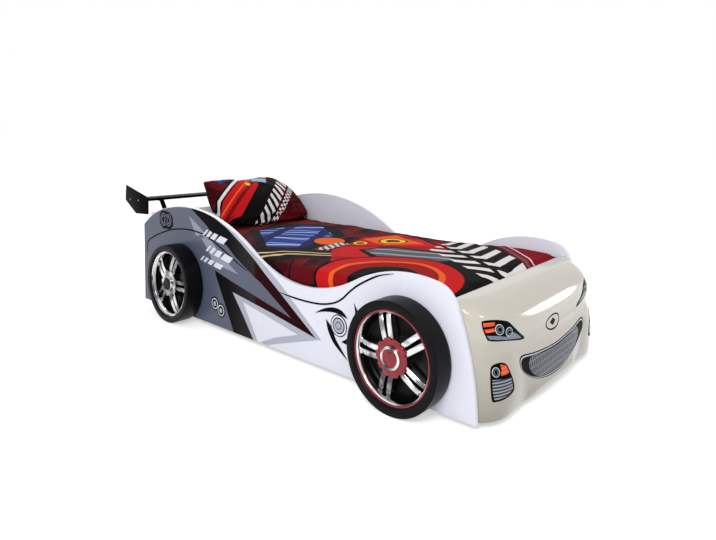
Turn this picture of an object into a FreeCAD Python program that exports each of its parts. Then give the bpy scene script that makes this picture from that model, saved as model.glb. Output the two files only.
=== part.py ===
import FreeCAD, Part
import math
import os
import re
from FreeCAD import Placement, Rotation, Vector

# A child's bed shaped like a racing car.  The frame is millimetres, +Z up, +X towards
# the car's nose, +Y towards its left side, and Z = 0 is the floor that the tyres stand on.
# Places along the car are first counted from the side panels' rear edge, then moved by
# "origin" so that the part's own origin lies under the middle of its overall box.

doc = FreeCAD.newDocument("car_bed")
sheet = doc.addObject("Spreadsheet::Sheet", "sizes")

SIZES = {
    # mattress well
    "mattress_length": 2000,
    "mattress_width": 900,
    "mattress_depth": 150,
    "mattress_corner": 45,
    "side_gap": 24.5,
    "end_gap": 2,
    "board": 18,
    "head_setback": 50,
    "head_height": 530,
    "board_lift": 25,
    # side panel outline
    "rear_edge_height": 460,
    "rear_shoulder_radius": 583,
    "hump_place": 466,
    "hump_height": 595,
    "valley_place": 1360,
    "valley_height": 336,
    "valley_radius": 620,
    "brow_place": 1925,
    "brow_height": 479,
    "front_reach": 2190,
    "front_radius": 1090,
    "nose_radius": 100,
    # slatted base
    "slat_top": 240,
    "slat_depth": 18,
    "slat_width": 80,
    "slat_count": 12,
    "slat_end_play": 4,
    "rail_depth": 40,
    "rail_width": 25,
    "block_side": 45,
    "beam_depth": 60,
    "beam_width": 40,
    "bracket_leg": 40,
    "bracket_plate": 3,
    "leg_side": 45,
    "glide_radius": 18,
    "glide_depth": 4,
    "strap_width": 30,
    "strap_depth": 1.5,
    "strap_offset": 300,
    # wheels
    "rear_axle": 417,
    "front_axle": 1904,
    "tyre_radius": 200,
    "tyre_width": 95,
    "tyre_shoulder": 5,
    "tyre_back_shoulder": 18,
    "tyre_wall": 4,
    "rim_radius": 165,
    "rim_lip": 13,
    "rim_inset": 11,
    "disc_face": 36,
    "disc_depth": 6,
    "disc_drum_radius": 75,
    "hub_radius": 66,
    "hub_plate": 6,
    "hub_scallop": 7,
    "hub_wall": 8,
    "cap_radius": 42,
    "cap_height": 11,
    "wheel_screw_circle": 40,
    "spoke_bar": 21,
    "spoke_slot": 9,
    "spoke_height": 40,
    "spoke_root": 10,
    "spoke_pairs": 5,
    # bumper
    "bumper_top": 410,
    "bumper_bottom": 26,
    "bumper_wall": 4,
    "bumper_setback": 12,
    "bumper_flange": 30,
    "bumper_bulge": 84,
    "skirt_notch": 12,
    "notch_place": 272,
    "notch_width": 84,
    # rear wing
    "wing_height": 591,
    "wing_place": 110,
    "wing_chord": 150,
    "wing_depth": 16,
    "wing_half_span": 486,
    "endplate": 8,
    "endplate_tail": 226,
    "endplate_length": 270,
    "strut_inset": 136,
    "strut_width": 28,
    "strut_plate": 6,
    "strut_lean": 37,
    "strut_foot": 110,
    "strut_flange": 60,
    # bedding
    "clearance": 0.3,
    "duvet_crown": 40,
    "duvet_roll": 42,
    "duvet_drop": 52,
    "duvet_edge": 18,
    "duvet_head": 150,
    "duvet_side_gap": 1.5,
    "pillow_gap": 1.2,
    "pillow_width": 632,
    "pillow_shift": 153,
    "pillow_reach": 330,
    "pillow_rise": 274,
    "pillow_lift": 14,
    "pillow_heel": 25,
    "pillow_bulge": 62,
    # fasteners
    "bolt_radius": 3,
    "bolt_head_radius": 6.5,
    "bolt_head": 4,
    "bolt_bite": 12,
    "screw_radius": 2,
    "screw_head_radius": 4,
    "screw_head": 2.4,
    "screw_bite": 11,
    "hole_play": 0.2,
}
for row, (alias, number) in enumerate(SIZES.items(), start=1):
    sheet.set("A%d" % row, alias)
    sheet.set("B%d" % row, str(number))
    sheet.setAlias("B%d" % row, alias)
doc.recompute()
size = {alias: float(sheet.get(alias)) for alias in SIZES}

# Values that several pieces share, all worked out from the sheet.
inner_half = size["mattress_width"] / 2 + size["side_gap"]
outer_half = inner_half + size["board"]
head_front = size["head_setback"] + size["board"]
mattress_rear = head_front + size["end_gap"]
mattress_front = mattress_rear + size["mattress_length"]
foot_rear = mattress_front + size["end_gap"]
foot_front = foot_rear + size["board"]
slat_bottom = size["slat_top"] - size["slat_depth"]
mattress_bottom = size["slat_top"] + size["strap_depth"] + size["clearance"]
mattress_top = mattress_bottom + size["mattress_depth"]
block_bottom = size["board_lift"]
strut_offset = size["wing_half_span"] - size["strut_inset"]
panel_front_centre = Vector(size["front_reach"] - size["front_radius"], 0, 0)
nodes = {}

# The bumper's section: heights as shares of its own height, each with the share of the
# full bulge, and of the notch beside the chin, that the skin has there.  The squareness is
# the power by which the bulge falls off towards the side panels.
SECTION = ((1.0, 0.0, 0.0), (0.95, 0.92, 0.0), (0.6, 1.0, 0.0), (0.3, 0.98, 0.45), (0.0, 0.75, 1.0))
BUMPER_SQUARENESS = 9


def bumper_points(y, inset):
    """The points that one skin of the bumper passes at one place across the car."""
    spread = 1 - abs(y / inner_half) ** BUMPER_SQUARENESS
    notch = size["skirt_notch"] * math.exp(-((abs(y) - size["notch_place"]) / size["notch_width"]) ** 2)
    points = []
    for share, bulge_share, notch_share in SECTION:
        height = size["bumper_bottom"] + (size["bumper_top"] - inset - size["bumper_bottom"]) * share
        edge = panel_front_centre.x + math.sqrt(size["front_radius"] ** 2 - height ** 2)
        bulge = size["bumper_bulge"] * bulge_share * spread - notch * notch_share
        points.append(Vector(edge - size["bumper_setback"] + bulge - inset, y, height))
    return points


# The car reaches from the wing's tail to the front of the bumper; the origin is half way.
nose_tip = Part.Arc(*bumper_points(0, 0)[2:]).toShape().BoundBox.XMax
origin = (nose_tip - size["endplate_tail"]) / 2


def bound(formula):
    """A sheet formula with each alias named in full."""
    return re.sub(r"[a-z][a-z_]+", lambda word: "sizes." + word.group(), formula)


def at(x, y, z):
    """A point, with x counted from the panels' rear edge."""
    return Vector(x - origin, y, z)


def keep(label, item):
    """Names a finished sub-part; the label is its node and its file."""
    item.Label = label
    nodes[label] = item
    return item


def box(name, length, width, height, corner):
    """A bar or board from three sheet formulas and its low corner."""
    item = doc.addObject("Part::Box", name)
    item.setExpression("Length", bound(length))
    item.setExpression("Width", bound(width))
    item.setExpression("Height", bound(height))
    item.Placement = Placement(corner, Rotation())
    return item


def cylinder(name, radius, height, seat, direction):
    """A round bar from two sheet formulas, standing on seat and pointing along direction."""
    item = doc.addObject("Part::Cylinder", name)
    item.setExpression("Radius", bound(radius))
    item.setExpression("Height", bound(height))
    item.Placement = Placement(seat, Rotation(Vector(0, 0, 1), direction))
    return item


def group(name, items):
    """Separate solids held as one compound."""
    item = doc.addObject("Part::Compound", name)
    item.Links = items
    return item


def fused(name, items):
    """Touching or crossing solids made into one."""
    item = doc.addObject("Part::MultiFuse", name)
    item.Shapes = items
    item.Refine = False
    return item


def cut(name, base, tool):
    """The base without the tool."""
    item = doc.addObject("Part::Cut", name)
    item.Base = base
    item.Tool = tool
    item.Refine = False
    return item


# --- fasteners ------------------------------------------------------------------------

LEFT, RIGHT = Vector(0, 1, 0), Vector(0, -1, 0)
FORWARD, BACK = Vector(1, 0, 0), Vector(-1, 0, 0)
UP, DOWN = Vector(0, 0, 1), Vector(0, 0, -1)


class Fastener:
    """A bolt or screw: the seat under its head, the way it points and its shank length."""

    def __init__(self, kind, seat, direction, length):
        self.kind = kind
        self.seat = seat
        self.direction = direction
        self.length = length

    def solid(self, name):
        head = cylinder(name + "_head", self.kind + "_head_radius", self.kind + "_head",
                        self.seat, self.direction.negative())
        shank = cylinder(name + "_shank", self.kind + "_radius", self.length,
                         self.seat, self.direction)
        return fused(name, [head, shank])

    def hole(self, name):
        start = self.seat - self.direction * size["hole_play"]
        return cylinder(name, self.kind + "_radius + hole_play",
                        "(" + self.length + ") + 3 * hole_play", start, self.direction)


def drilled(label, blank, fasteners):
    """A piece with a hole for each of its fasteners."""
    holes = [fastener.hole("%s_hole_%d" % (label, i)) for i, fastener in enumerate(fasteners)]
    return keep(label, cut(label, blank, group(label + "_holes", holes)))


def fastener_set(label, fasteners):
    """Identical fasteners, one solid each, in one node."""
    solids = [fastener.solid("%s_%d" % (label, i)) for i, fastener in enumerate(fasteners)]
    return keep(label, group(label, solids))


SIDES = (("right", -1, RIGHT), ("left", 1, LEFT))
ENDS = (("rear", head_front, 1, BACK), ("front", foot_rear - size["block_side"], -1, FORWARD))
AXLES = (("rear", size["rear_axle"]), ("front", size["front_axle"]))

# Corner bolts: two into the side panel and two into the end board, at four heights, each
# given as a share of the block's height.
SIDE_BOLT_SHARES = (0.2, 0.7)
END_BOLT_SHARES = (0.35, 0.6)
block_height = slat_bottom - block_bottom
side_bolts = {"right": [], "left": []}
end_bolts = {"rear": [], "front": []}
block_bolts = {}
for end, block_rear, inward, outward_x in ENDS:
    for side, sign, outward_y in SIDES:
        middle_x = block_rear + size["block_side"] / 2
        inner_y = sign * (inner_half - size["block_side"])
        middle_y = sign * (inner_half - size["block_side"] / 2)
        inner_x = block_rear + (size["block_side"] if inward > 0 else 0)
        length = "block_side + bolt_bite"
        sideways = [Fastener("bolt", at(middle_x, inner_y, block_bottom + block_height * share),
                             outward_y, length) for share in SIDE_BOLT_SHARES]
        endways = [Fastener("bolt", at(inner_x, middle_y, block_bottom + block_height * share),
                            outward_x, length) for share in END_BOLT_SHARES]
        side_bolts[side] += sideways
        end_bolts[end] += endways
        block_bolts[end, side] = sideways + endways

# Rail screws, evenly spaced along each rail.
RAIL_SCREWS = 5
rail_rear = head_front + size["block_side"]
rail_front = foot_rear - size["block_side"]
rail_middle = slat_bottom - size["rail_depth"] / 2
rail_screws = {}
for side, sign, outward in SIDES:
    pitch = (rail_front - rail_rear) / RAIL_SCREWS
    rail_screws[side] = [
        Fastener("screw", at(rail_rear + pitch * (i + 0.5), sign * (inner_half - size["rail_width"]),
                             rail_middle), outward, "rail_width + screw_bite")
        for i in range(RAIL_SCREWS)]

# Wheel screws go through each wheel's drum into the panel's outer face.
WHEEL_SCREWS = 3
wheel_screws = {}
for end, axle in AXLES:
    for side, sign, outward in SIDES:
        places = []
        for i in range(WHEEL_SCREWS):
            turn = math.radians(90 + 360 * i / WHEEL_SCREWS)
            seat = at(axle + size["wheel_screw_circle"] * math.cos(turn),
                      sign * (outer_half + size["disc_face"]),
                      size["tyre_radius"] + size["wheel_screw_circle"] * math.sin(turn))
            places.append(Fastener("screw", seat, outward.negative(), "disc_face + screw_bite"))
        wheel_screws[end, side] = places

# Bumper screws go through the bumper's side walls into the panels' inner faces.
BUMPER_SCREW_SHARES = (0.25, 0.7)
bumper_screws = {}
for side, sign, outward in SIDES:
    bumper_screws[side] = [
        Fastener("screw", at(foot_front + size["bumper_flange"], sign * (inner_half - size["bumper_wall"]),
                             height), outward, "bumper_wall + screw_bite")
        for height in (size["bumper_top"] * share for share in BUMPER_SCREW_SHARES)]


# --- outline of the side panels -------------------------------------------------------

def circle_meeting(first, first_distance, second, second_distance):
    """The upper-right point at two given distances from two points of the XZ plane."""
    gap = second - first
    along = (gap.Length ** 2 + first_distance ** 2 - second_distance ** 2) / (2 * gap.Length)
    across = math.sqrt(first_distance ** 2 - along ** 2)
    unit = gap / gap.Length
    side_step = Vector(unit.z, 0, -unit.x) * across
    one, other = first + unit * along + side_step, first + unit * along - side_step
    return one if one.x + one.z > other.x + other.z else other


def arc(centre, radius, start, end):
    """The short arc of a circle of the XZ plane between two of its points."""
    middle = ((start - centre).normalize() + (end - centre).normalize()).normalize()
    return Part.Arc(start, centre + middle * radius, end)


def plane_point(x, z):
    return Vector(x, 0, z)


hump_valley = plane_point(size["valley_place"] - size["hump_place"], size["hump_height"] - size["valley_height"])
valley_brow = plane_point(size["brow_place"] - size["valley_place"], size["brow_height"] - size["valley_height"])
hump_radius = hump_valley.Length ** 2 / (2 * hump_valley.z) - size["valley_radius"]
brow_radius = valley_brow.Length ** 2 / (2 * valley_brow.z) - size["valley_radius"]
hump_centre = plane_point(size["hump_place"], size["hump_height"] - hump_radius)
valley_centre = plane_point(size["valley_place"], size["valley_height"] + size["valley_radius"])
brow_centre = plane_point(size["brow_place"], size["brow_height"] - brow_radius)
rear_top = plane_point(0, size["rear_edge_height"])
shoulder_centre = circle_meeting(hump_centre, hump_radius - size["rear_shoulder_radius"],
                                 rear_top, size["rear_shoulder_radius"])
nose_centre = circle_meeting(brow_centre, brow_radius - size["nose_radius"],
                             panel_front_centre, size["front_radius"] - size["nose_radius"])


def toward(centre, other, radius):
    """The point of a circle that lies towards another point."""
    return centre + (other - centre).normalize() * radius


def panel_outline():
    """The closed outline of a side panel, clockwise from its rear bottom corner."""
    shoulder_hump = toward(hump_centre, shoulder_centre, hump_radius)
    hump_to_valley = toward(hump_centre, valley_centre, hump_radius)
    valley_to_brow = toward(brow_centre, valley_centre, brow_radius)
    brow_nose = toward(brow_centre, nose_centre, brow_radius)
    nose_front = toward(panel_front_centre, nose_centre, size["front_radius"])
    lift = size["board_lift"]
    front_foot = plane_point(panel_front_centre.x + math.sqrt(size["front_radius"] ** 2 - lift ** 2), lift)
    rear_foot = plane_point(0, lift)
    return [
        Part.LineSegment(rear_foot, rear_top),
        arc(shoulder_centre, size["rear_shoulder_radius"], rear_top, shoulder_hump),
        arc(hump_centre, hump_radius, shoulder_hump, hump_to_valley),
        arc(valley_centre, size["valley_radius"], hump_to_valley, valley_to_brow),
        arc(brow_centre, brow_radius, valley_to_brow, brow_nose),
        arc(nose_centre, size["nose_radius"], brow_nose, nose_front),
        arc(panel_front_centre, size["front_radius"], nose_front, front_foot),
        Part.LineSegment(front_foot, rear_foot),
    ]


def flat(point):
    """A point of the XZ plane in the plane of a sketch on it."""
    return Vector(point.x, point.z, 0)


def flattened(edges):
    """Lines and arcs of the XZ plane as sketch geometry."""
    drawn = []
    for edge in edges:
        start, end = edge.StartPoint, edge.EndPoint
        if isinstance(edge, Part.LineSegment):
            drawn.append(Part.LineSegment(flat(start), flat(end)))
        else:
            middle = edge.value((edge.FirstParameter + edge.LastParameter) / 2)
            drawn.append(Part.Arc(flat(start), flat(middle), flat(end)))
    return drawn


def sketched_body(name, edges):
    """A body with one sketch on its XZ plane."""
    body = doc.addObject("PartDesign::Body", name)
    plane = next(item for item in body.Origin.OriginFeatures if item.Role == "XZ_Plane")
    sketch = body.newObject("Sketcher::SketchObject", name + "_sketch")
    sketch.AttachmentSupport = (plane, [""])
    sketch.MapMode = "FlatFace"
    sketch.addGeometry(flattened(edges), False)
    return body, sketch


def padded(name, edges, thickness, y):
    """A plate in the XZ plane: an outline and a thickness formula, with y as its left face."""
    body, sketch = sketched_body(name, edges)
    pad = body.newObject("PartDesign::Pad", name + "_pad")
    pad.Profile = sketch
    pad.setExpression("Length", bound(thickness))
    sketch.Visibility = False
    body.Placement = Placement(at(0, y, 0), Rotation())
    return body


def turned(name, edges):
    """A ring or disc turned about its own Z axis from a half section in its XZ plane."""
    body, sketch = sketched_body(name, edges)
    turn = body.newObject("PartDesign::Revolution", name + "_turn")
    turn.Profile = sketch
    turn.ReferenceAxis = (sketch, ["V_Axis"])
    turn.Angle = 360
    return body


def polygon(points):
    """Straight edges through points of the XZ plane, closed."""
    return [Part.LineSegment(points[i - 1], points[i]) for i in range(len(points))]


# --- boards ---------------------------------------------------------------------------

for side, sign, outward in SIDES:
    left_face = outer_half if sign > 0 else -inner_half
    blank = padded("side_panel_%s_blank" % side, panel_outline(), "board", left_face)
    axle_screws = wheel_screws["rear", side] + wheel_screws["front", side]
    drilled("side_panel_" + side, blank,
            side_bolts[side] + rail_screws[side] + axle_screws + bumper_screws[side])

# The wing's struts lean forward and down from the blade to their knee on the headboard.
STRUT_TOP_SHARE = 0.3
STRUT_SCREW_SHARES = (0.25, 0.75)
blade_under = size["wing_height"] - size["wing_depth"] / 2
strut_top = -size["wing_place"] + size["wing_chord"] * STRUT_TOP_SHARE
strut_knee = blade_under - (size["head_setback"] - strut_top) / math.tan(math.radians(size["strut_lean"]))
strut_screw_heights = [strut_knee - size["strut_foot"] * share for share in STRUT_SCREW_SHARES]
strut_foot_screws = [
    Fastener("screw", at(size["head_setback"] - size["strut_plate"], sign * strut_offset, height),
             FORWARD, "strut_plate + screw_bite")
    for side, sign, outward in SIDES for height in strut_screw_heights]

headboard = box("headboard_blank", "board", "mattress_width + 2 * side_gap", "head_height - board_lift",
                at(size["head_setback"], -inner_half, size["board_lift"]))
drilled("headboard", headboard, end_bolts["rear"] + strut_foot_screws)
footboard = box("footboard_blank", "board", "mattress_width + 2 * side_gap",
                "bumper_top - bumper_wall - board_lift", at(foot_rear, -inner_half, size["board_lift"]))
drilled("footboard", footboard, end_bolts["front"])


# --- slatted base ---------------------------------------------------------------------

for end, block_rear, inward, outward_x in ENDS:
    for side, sign, outward_y in SIDES:
        low_y = inner_half - size["block_side"] if sign > 0 else -inner_half
        label = "corner_block_%s_%s" % (end, side)
        block = box(label + "_blank", "block_side", "block_side", "slat_top - slat_depth - board_lift",
                    at(block_rear, low_y, block_bottom))
        drilled(label, block, block_bolts[end, side])

for side, sign, outward in SIDES:
    low_y = inner_half - size["rail_width"] if sign > 0 else -inner_half
    label = "side_rail_" + side
    rail = box(label + "_blank", "mattress_length + 2 * end_gap - 2 * block_side", "rail_width", "rail_depth",
               at(rail_rear, low_y, slat_bottom - size["rail_depth"]))
    drilled(label, rail, rail_screws[side])

beam_bottom = slat_bottom - size["beam_depth"]
keep("centre_beam", box("centre_beam", "mattress_length + 2 * end_gap", "beam_width", "beam_depth",
                        at(head_front, -size["beam_width"] / 2, beam_bottom)))

# Steel angles carry the beam's ends; each has one leg on the end board and one under the beam.
angles = []
for end, face, step in (("rear", head_front, 1), ("front", foot_rear, -1)):
    low_x = face if step > 0 else face - size["bracket_leg"]
    wall_x = face if step > 0 else face - size["bracket_plate"]
    shelf = box("bracket_%s_shelf" % end, "bracket_leg", "beam_width", "bracket_plate",
                at(low_x, -size["beam_width"] / 2, beam_bottom - size["bracket_plate"]))
    wall = box("bracket_%s_wall" % end, "bracket_plate", "beam_width", "bracket_leg",
               at(wall_x, -size["beam_width"] / 2, beam_bottom - size["bracket_leg"]))
    angles.append(fused("bracket_" + end, [shelf, wall]))
keep("beam_brackets", group("beam_brackets", angles))

glides = []
for name, share in (("rear", 1 / 3), ("front", 2 / 3)):
    middle = head_front + (foot_rear - head_front) * share
    keep("centre_leg_" + name, box("centre_leg_" + name, "leg_side", "leg_side",
                                   "slat_top - slat_depth - beam_depth - glide_depth",
                                   at(middle - size["leg_side"] / 2, -size["leg_side"] / 2, size["glide_depth"])))
    glides.append(cylinder("glide_" + name, "glide_radius", "glide_depth", at(middle, 0, 0), UP))
keep("leg_glides", group("leg_glides", glides))

slat_count = int(size["slat_count"])
slat_pitch = (size["mattress_length"] - size["slat_width"]) / (slat_count - 1)
for i in range(slat_count):
    label = "slat_%02d" % (i + 1)
    keep(label, box(label, "slat_width", "mattress_width + 2 * side_gap - 2 * slat_end_play", "slat_depth",
                    at(mattress_rear + slat_pitch * i, -inner_half + size["slat_end_play"], slat_bottom)))

for side, sign, outward in SIDES:
    label = "slat_strap_" + side
    keep(label, box(label, "mattress_length", "strap_width", "strap_depth",
                    at(mattress_rear, sign * size["strap_offset"] - size["strap_width"] / 2, size["slat_top"])))


# --- wheels ---------------------------------------------------------------------------

def tyre_section():
    """A hollow moulded tyre as a half section; its rounded back leaves it open towards the panel."""
    radius, width, wall = size["tyre_radius"], size["tyre_width"], size["tyre_wall"]
    shoulder, back, bore = size["tyre_shoulder"], size["tyre_back_shoulder"], size["rim_radius"]
    face_centre = plane_point(radius - shoulder, width - shoulder)
    back_centre = plane_point(radius - back, back)
    points = [plane_point(radius - back, 0), plane_point(radius, back), plane_point(radius, width - shoulder),
              plane_point(radius - shoulder, width), plane_point(bore, width), plane_point(bore, 0),
              plane_point(bore + wall, 0), plane_point(bore + wall, width - wall),
              plane_point(radius - shoulder, width - wall), plane_point(radius - wall, width - shoulder),
              plane_point(radius - wall, back), plane_point(radius - back, wall)]
    edges = [arc(back_centre, back, points[0], points[1]), Part.LineSegment(points[1], points[2]),
             arc(face_centre, shoulder, points[2], points[3])]
    edges += [Part.LineSegment(points[i], points[i + 1]) for i in range(3, 8)]
    edges.append(arc(face_centre, shoulder - wall, points[8], points[9]))
    edges.append(Part.LineSegment(points[9], points[10]))
    edges.append(arc(back_centre, back - wall, points[10], points[11]))
    edges.append(Part.LineSegment(points[11], points[0]))
    return edges


def disc_section():
    """The dark disc behind the spokes, with the drum that holds it off the panel."""
    seat, drum = size["rim_radius"] - size["clearance"], size["disc_drum_radius"]
    face, back = size["disc_face"], size["disc_face"] - size["disc_depth"]
    return polygon([plane_point(0, 0), plane_point(drum, 0), plane_point(drum, back),
                    plane_point(seat, back), plane_point(seat, face), plane_point(0, face)])


def rim_section():
    """The bright lip round the spokes, dished towards them."""
    outer = size["rim_radius"] - size["clearance"]
    inner, face = outer - size["rim_lip"], size["disc_face"]
    top = size["tyre_width"] - size["rim_inset"]
    return polygon([plane_point(inner, face), plane_point(outer, face), plane_point(outer, top),
                    plane_point(outer - size["rim_lip"] / 2, top), plane_point(inner, top - size["rim_lip"])])


def cap_section():
    """The raised round cap in the middle of the hub plate."""
    radius, height = size["cap_radius"], size["cap_height"]
    corner = height / 2
    centre = plane_point(radius - corner, corner)
    return [Part.LineSegment(plane_point(0, 0), plane_point(radius, 0)),
            Part.LineSegment(plane_point(radius, 0), plane_point(radius, corner)),
            arc(centre, corner, plane_point(radius, corner), plane_point(radius - corner, height)),
            Part.LineSegment(plane_point(radius - corner, height), plane_point(0, height)),
            Part.LineSegment(plane_point(0, height), plane_point(0, 0))]


def wheel_place(axle, sign, turn):
    """The placement of a wheel piece: its Z axis out of the panel, turned by its own angle."""
    outward = Rotation(Vector(1, 0, 0), -90 * sign)
    spin = Rotation(Vector(0, 0, 1), turn)
    return Placement(at(axle, sign * outer_half, size["tyre_radius"]), outward.multiply(spin))


SPOKE_TURN = {"front": 36, "rear": 0}
SCALLOPS = 10
for end, axle in AXLES:
    for side, sign, outward in SIDES:
        where = "%s_%s" % (end, side)
        seat = wheel_place(axle, sign, SPOKE_TURN[end])

        tyre = turned("tyre_" + where, tyre_section())
        tyre.Placement = seat
        keep("tyre_" + where, tyre)

        disc = turned("wheel_disc_%s_blank" % where, disc_section())
        disc.Placement = seat
        drilled("wheel_disc_" + where, disc, wheel_screws[end, side])

        # bright trim: lip, hub boss and pairs of parallel bars
        lip = turned("rim_lip_" + where, rim_section())
        boss_outer = cylinder("rim_boss_" + where, "hub_radius", "spoke_height",
                              Vector(0, 0, size["disc_face"]), UP)
        boss_bore = cylinder("rim_bore_" + where, "hub_radius - hub_wall", "spoke_height - hub_plate",
                             Vector(0, 0, size["disc_face"]), UP)
        boss = cut("rim_drum_" + where, boss_outer, boss_bore)
        bars = []
        for pair in range(int(size["spoke_pairs"])):
            angle = 360 * pair / size["spoke_pairs"]
            for half in (-1, 1):
                name = "spoke_%s_%d_%d" % (where, pair, half + 1)
                bar = box(name, "rim_radius - rim_lip / 2 - hub_radius + spoke_root", "spoke_bar", "spoke_height",
                          Vector(0, 0, 0))
                low = size["spoke_slot"] / 2 if half > 0 else -size["spoke_slot"] / 2 - size["spoke_bar"]
                spin = Rotation(Vector(0, 0, 1), angle)
                bar.Placement = Placement(
                    spin.multVec(Vector(size["hub_radius"] - size["spoke_root"], low, size["disc_face"])), spin)
                bars.append(bar)
        rim = fused("rim_" + where, [lip, boss] + bars)
        rim.Placement = seat
        keep("rim_" + where, rim)

        # hub cap: scalloped plate with a round cap on it
        plate = cylinder("hub_plate_" + where, "hub_radius", "hub_plate", Vector(0, 0, 0), UP)
        bites = []
        for i in range(SCALLOPS):
            turn = math.radians(360 * (i + 0.5) / SCALLOPS)
            place = Vector(size["hub_radius"] * math.cos(turn), size["hub_radius"] * math.sin(turn), 0)
            bites.append(cylinder("hub_bite_%s_%d" % (where, i), "hub_scallop", "hub_plate", place, UP))
        scalloped = cut("hub_scalloped_" + where, plate, group("hub_bites_" + where, bites))
        cap = turned("hub_button_" + where, cap_section())
        cap.Placement = Placement(Vector(0, 0, size["hub_plate"]), Rotation())
        hub = fused("hub_cap_" + where, [scalloped, cap])
        lifted = Placement(Vector(0, 0, size["disc_face"] + size["spoke_height"]), Rotation())
        hub.Placement = seat.multiply(lifted)
        keep("hub_cap_" + where, hub)


# --- bumper ---------------------------------------------------------------------------

STATIONS = (0, 0.2, 0.35, 0.48, 0.61, 0.74, 0.86, 0.94, 1)


def bumper_section(y):
    """The bumper's closed wall section at one place across the car."""
    top, wall = size["bumper_top"], size["bumper_wall"]
    outer = [at(point.x, y, point.z) for point in bumper_points(y, 0)]
    inner = [at(point.x, y, point.z) for point in bumper_points(y, wall)]
    back_top = at(foot_rear, y, top)
    back_low = at(foot_rear, y, top - wall)
    edges = [
        Part.LineSegment(back_top, outer[0]),
        Part.Arc(outer[0], outer[1], outer[2]),
        Part.Arc(outer[2], outer[3], outer[4]),
        Part.LineSegment(outer[4], inner[4]),
        Part.Arc(inner[4], inner[3], inner[2]),
        Part.Arc(inner[2], inner[1], inner[0]),
        Part.LineSegment(inner[0], back_low),
        Part.LineSegment(back_low, back_top),
    ]
    return Part.Wire([edge.toShape() for edge in edges])


def bumper_side_wall(sign):
    """The flat wall that closes the bumper against one side panel."""
    top = size["bumper_top"] - size["bumper_wall"]
    bottom, wall = size["bumper_bottom"], size["bumper_wall"]
    y = sign * inner_half
    skin_points = bumper_points(y, wall / 2)
    front = [at(skin_points[i].x, y, skin_points[i].z) for i in (0, 2, 4)]
    front[0].z = top
    back_top, back_low = at(foot_front, y, top), at(foot_front, y, bottom)
    edges = [Part.LineSegment(back_top, front[0]), Part.Arc(*front),
             Part.LineSegment(front[2], back_low), Part.LineSegment(back_low, back_top)]
    wire = Part.Wire([edge.toShape() for edge in edges])
    return Part.Face(wire).extrude(Vector(0, -sign * wall, 0))


across = [-station for station in reversed(STATIONS[1:])] + list(STATIONS)
skin = Part.makeLoft([bumper_section(station * inner_half) for station in across], True, False)
shell = doc.addObject("Part::Feature", "bumper_blank")
shell.Shape = skin.fuse([bumper_side_wall(-1), bumper_side_wall(1)])
drilled("front_bumper", shell, bumper_screws["right"] + bumper_screws["left"])


# --- rear wing ------------------------------------------------------------------------

def wing_section():
    """A flat blade with a round leading edge and a thin tail."""
    half = size["wing_depth"] / 2
    front = -size["wing_place"] + size["wing_chord"] / 2
    tail = -size["wing_place"] - size["wing_chord"] / 2
    level = size["wing_height"]
    centre = plane_point(front - half, level)
    top, low = plane_point(front - half, level + half), plane_point(front - half, level - half)
    tail_top, tail_low = plane_point(tail, level + half / 2), plane_point(tail, level - half)
    tip = plane_point(front, level)
    return [Part.LineSegment(tail_low, tail_top), Part.LineSegment(tail_top, top),
            arc(centre, half, top, tip), arc(centre, half, tip, low), Part.LineSegment(low, tail_low)]


# The end plate's corners: forward of its tail and above the blade, as shares of its length.
ENDPLATE_CORNERS = ((0, -0.03), (0.033, 0.296), (0.915, 0.104), (1, 0.067), (0.993, -0.27), (0.478, -0.293))


def endplate_outline():
    """The slanted end plate of the wing."""
    tail, length = -size["endplate_tail"], size["endplate_length"]
    return polygon([plane_point(tail + length * along, size["wing_height"] + length * up)
                    for along, up in ENDPLATE_CORNERS])


def strut_outline():
    """A bent flat bar: foot on the headboard, a lean, and a flange under the blade."""
    plate, back, under = size["strut_plate"], size["head_setback"], blade_under
    foot, tail = strut_knee - size["strut_foot"], strut_top - size["strut_flange"]
    return polygon([plane_point(back, foot), plane_point(back, strut_knee),
                    plane_point(strut_top + plate, under - plate), plane_point(strut_top + plate, under),
                    plane_point(tail, under), plane_point(tail, under - plate),
                    plane_point(strut_top, under - plate), plane_point(back - plate, strut_knee - plate / 2),
                    plane_point(back - plate, foot)])


WING_SCREW_SHARES = (-1 / 3, 1 / 3)
FLANGE_SCREW_SHARE = 0.6
wing_screw_places = [-size["wing_place"] + size["wing_chord"] * share for share in WING_SCREW_SHARES]
end_screws = {}
for side, sign, outward in SIDES:
    end_screws[side] = [
        Fastener("screw", at(x, sign * (size["wing_half_span"] + size["endplate"]), size["wing_height"]),
                 outward.negative(), "endplate + 2 * screw_bite")
        for x in wing_screw_places]
flange_screws = [
    Fastener("screw", at(strut_top - size["strut_flange"] * FLANGE_SCREW_SHARE, sign * strut_offset,
                         blade_under - size["strut_plate"]),
             UP, "strut_plate + screw_bite")
    for side, sign, outward in SIDES]

blade = padded("wing_blade_blank", wing_section(), "2 * wing_half_span", size["wing_half_span"])
drilled("wing_blade", blade, end_screws["right"] + end_screws["left"] + flange_screws)
for side, sign, outward in SIDES:
    outer_face = size["wing_half_span"] + size["endplate"]
    left_face = outer_face if sign > 0 else -size["wing_half_span"]
    plate = padded("wing_endplate_%s_blank" % side, endplate_outline(), "endplate", left_face)
    drilled("wing_endplate_" + side, plate, end_screws[side])
    strut = padded("wing_strut_%s_blank" % side, strut_outline(), "strut_width",
                   sign * strut_offset + size["strut_width"] / 2)
    own = [item for item in strut_foot_screws + flange_screws if item.seat.y * sign > 0]
    drilled("wing_strut_" + side, strut, own)


# --- fastener nodes -------------------------------------------------------------------

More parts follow.
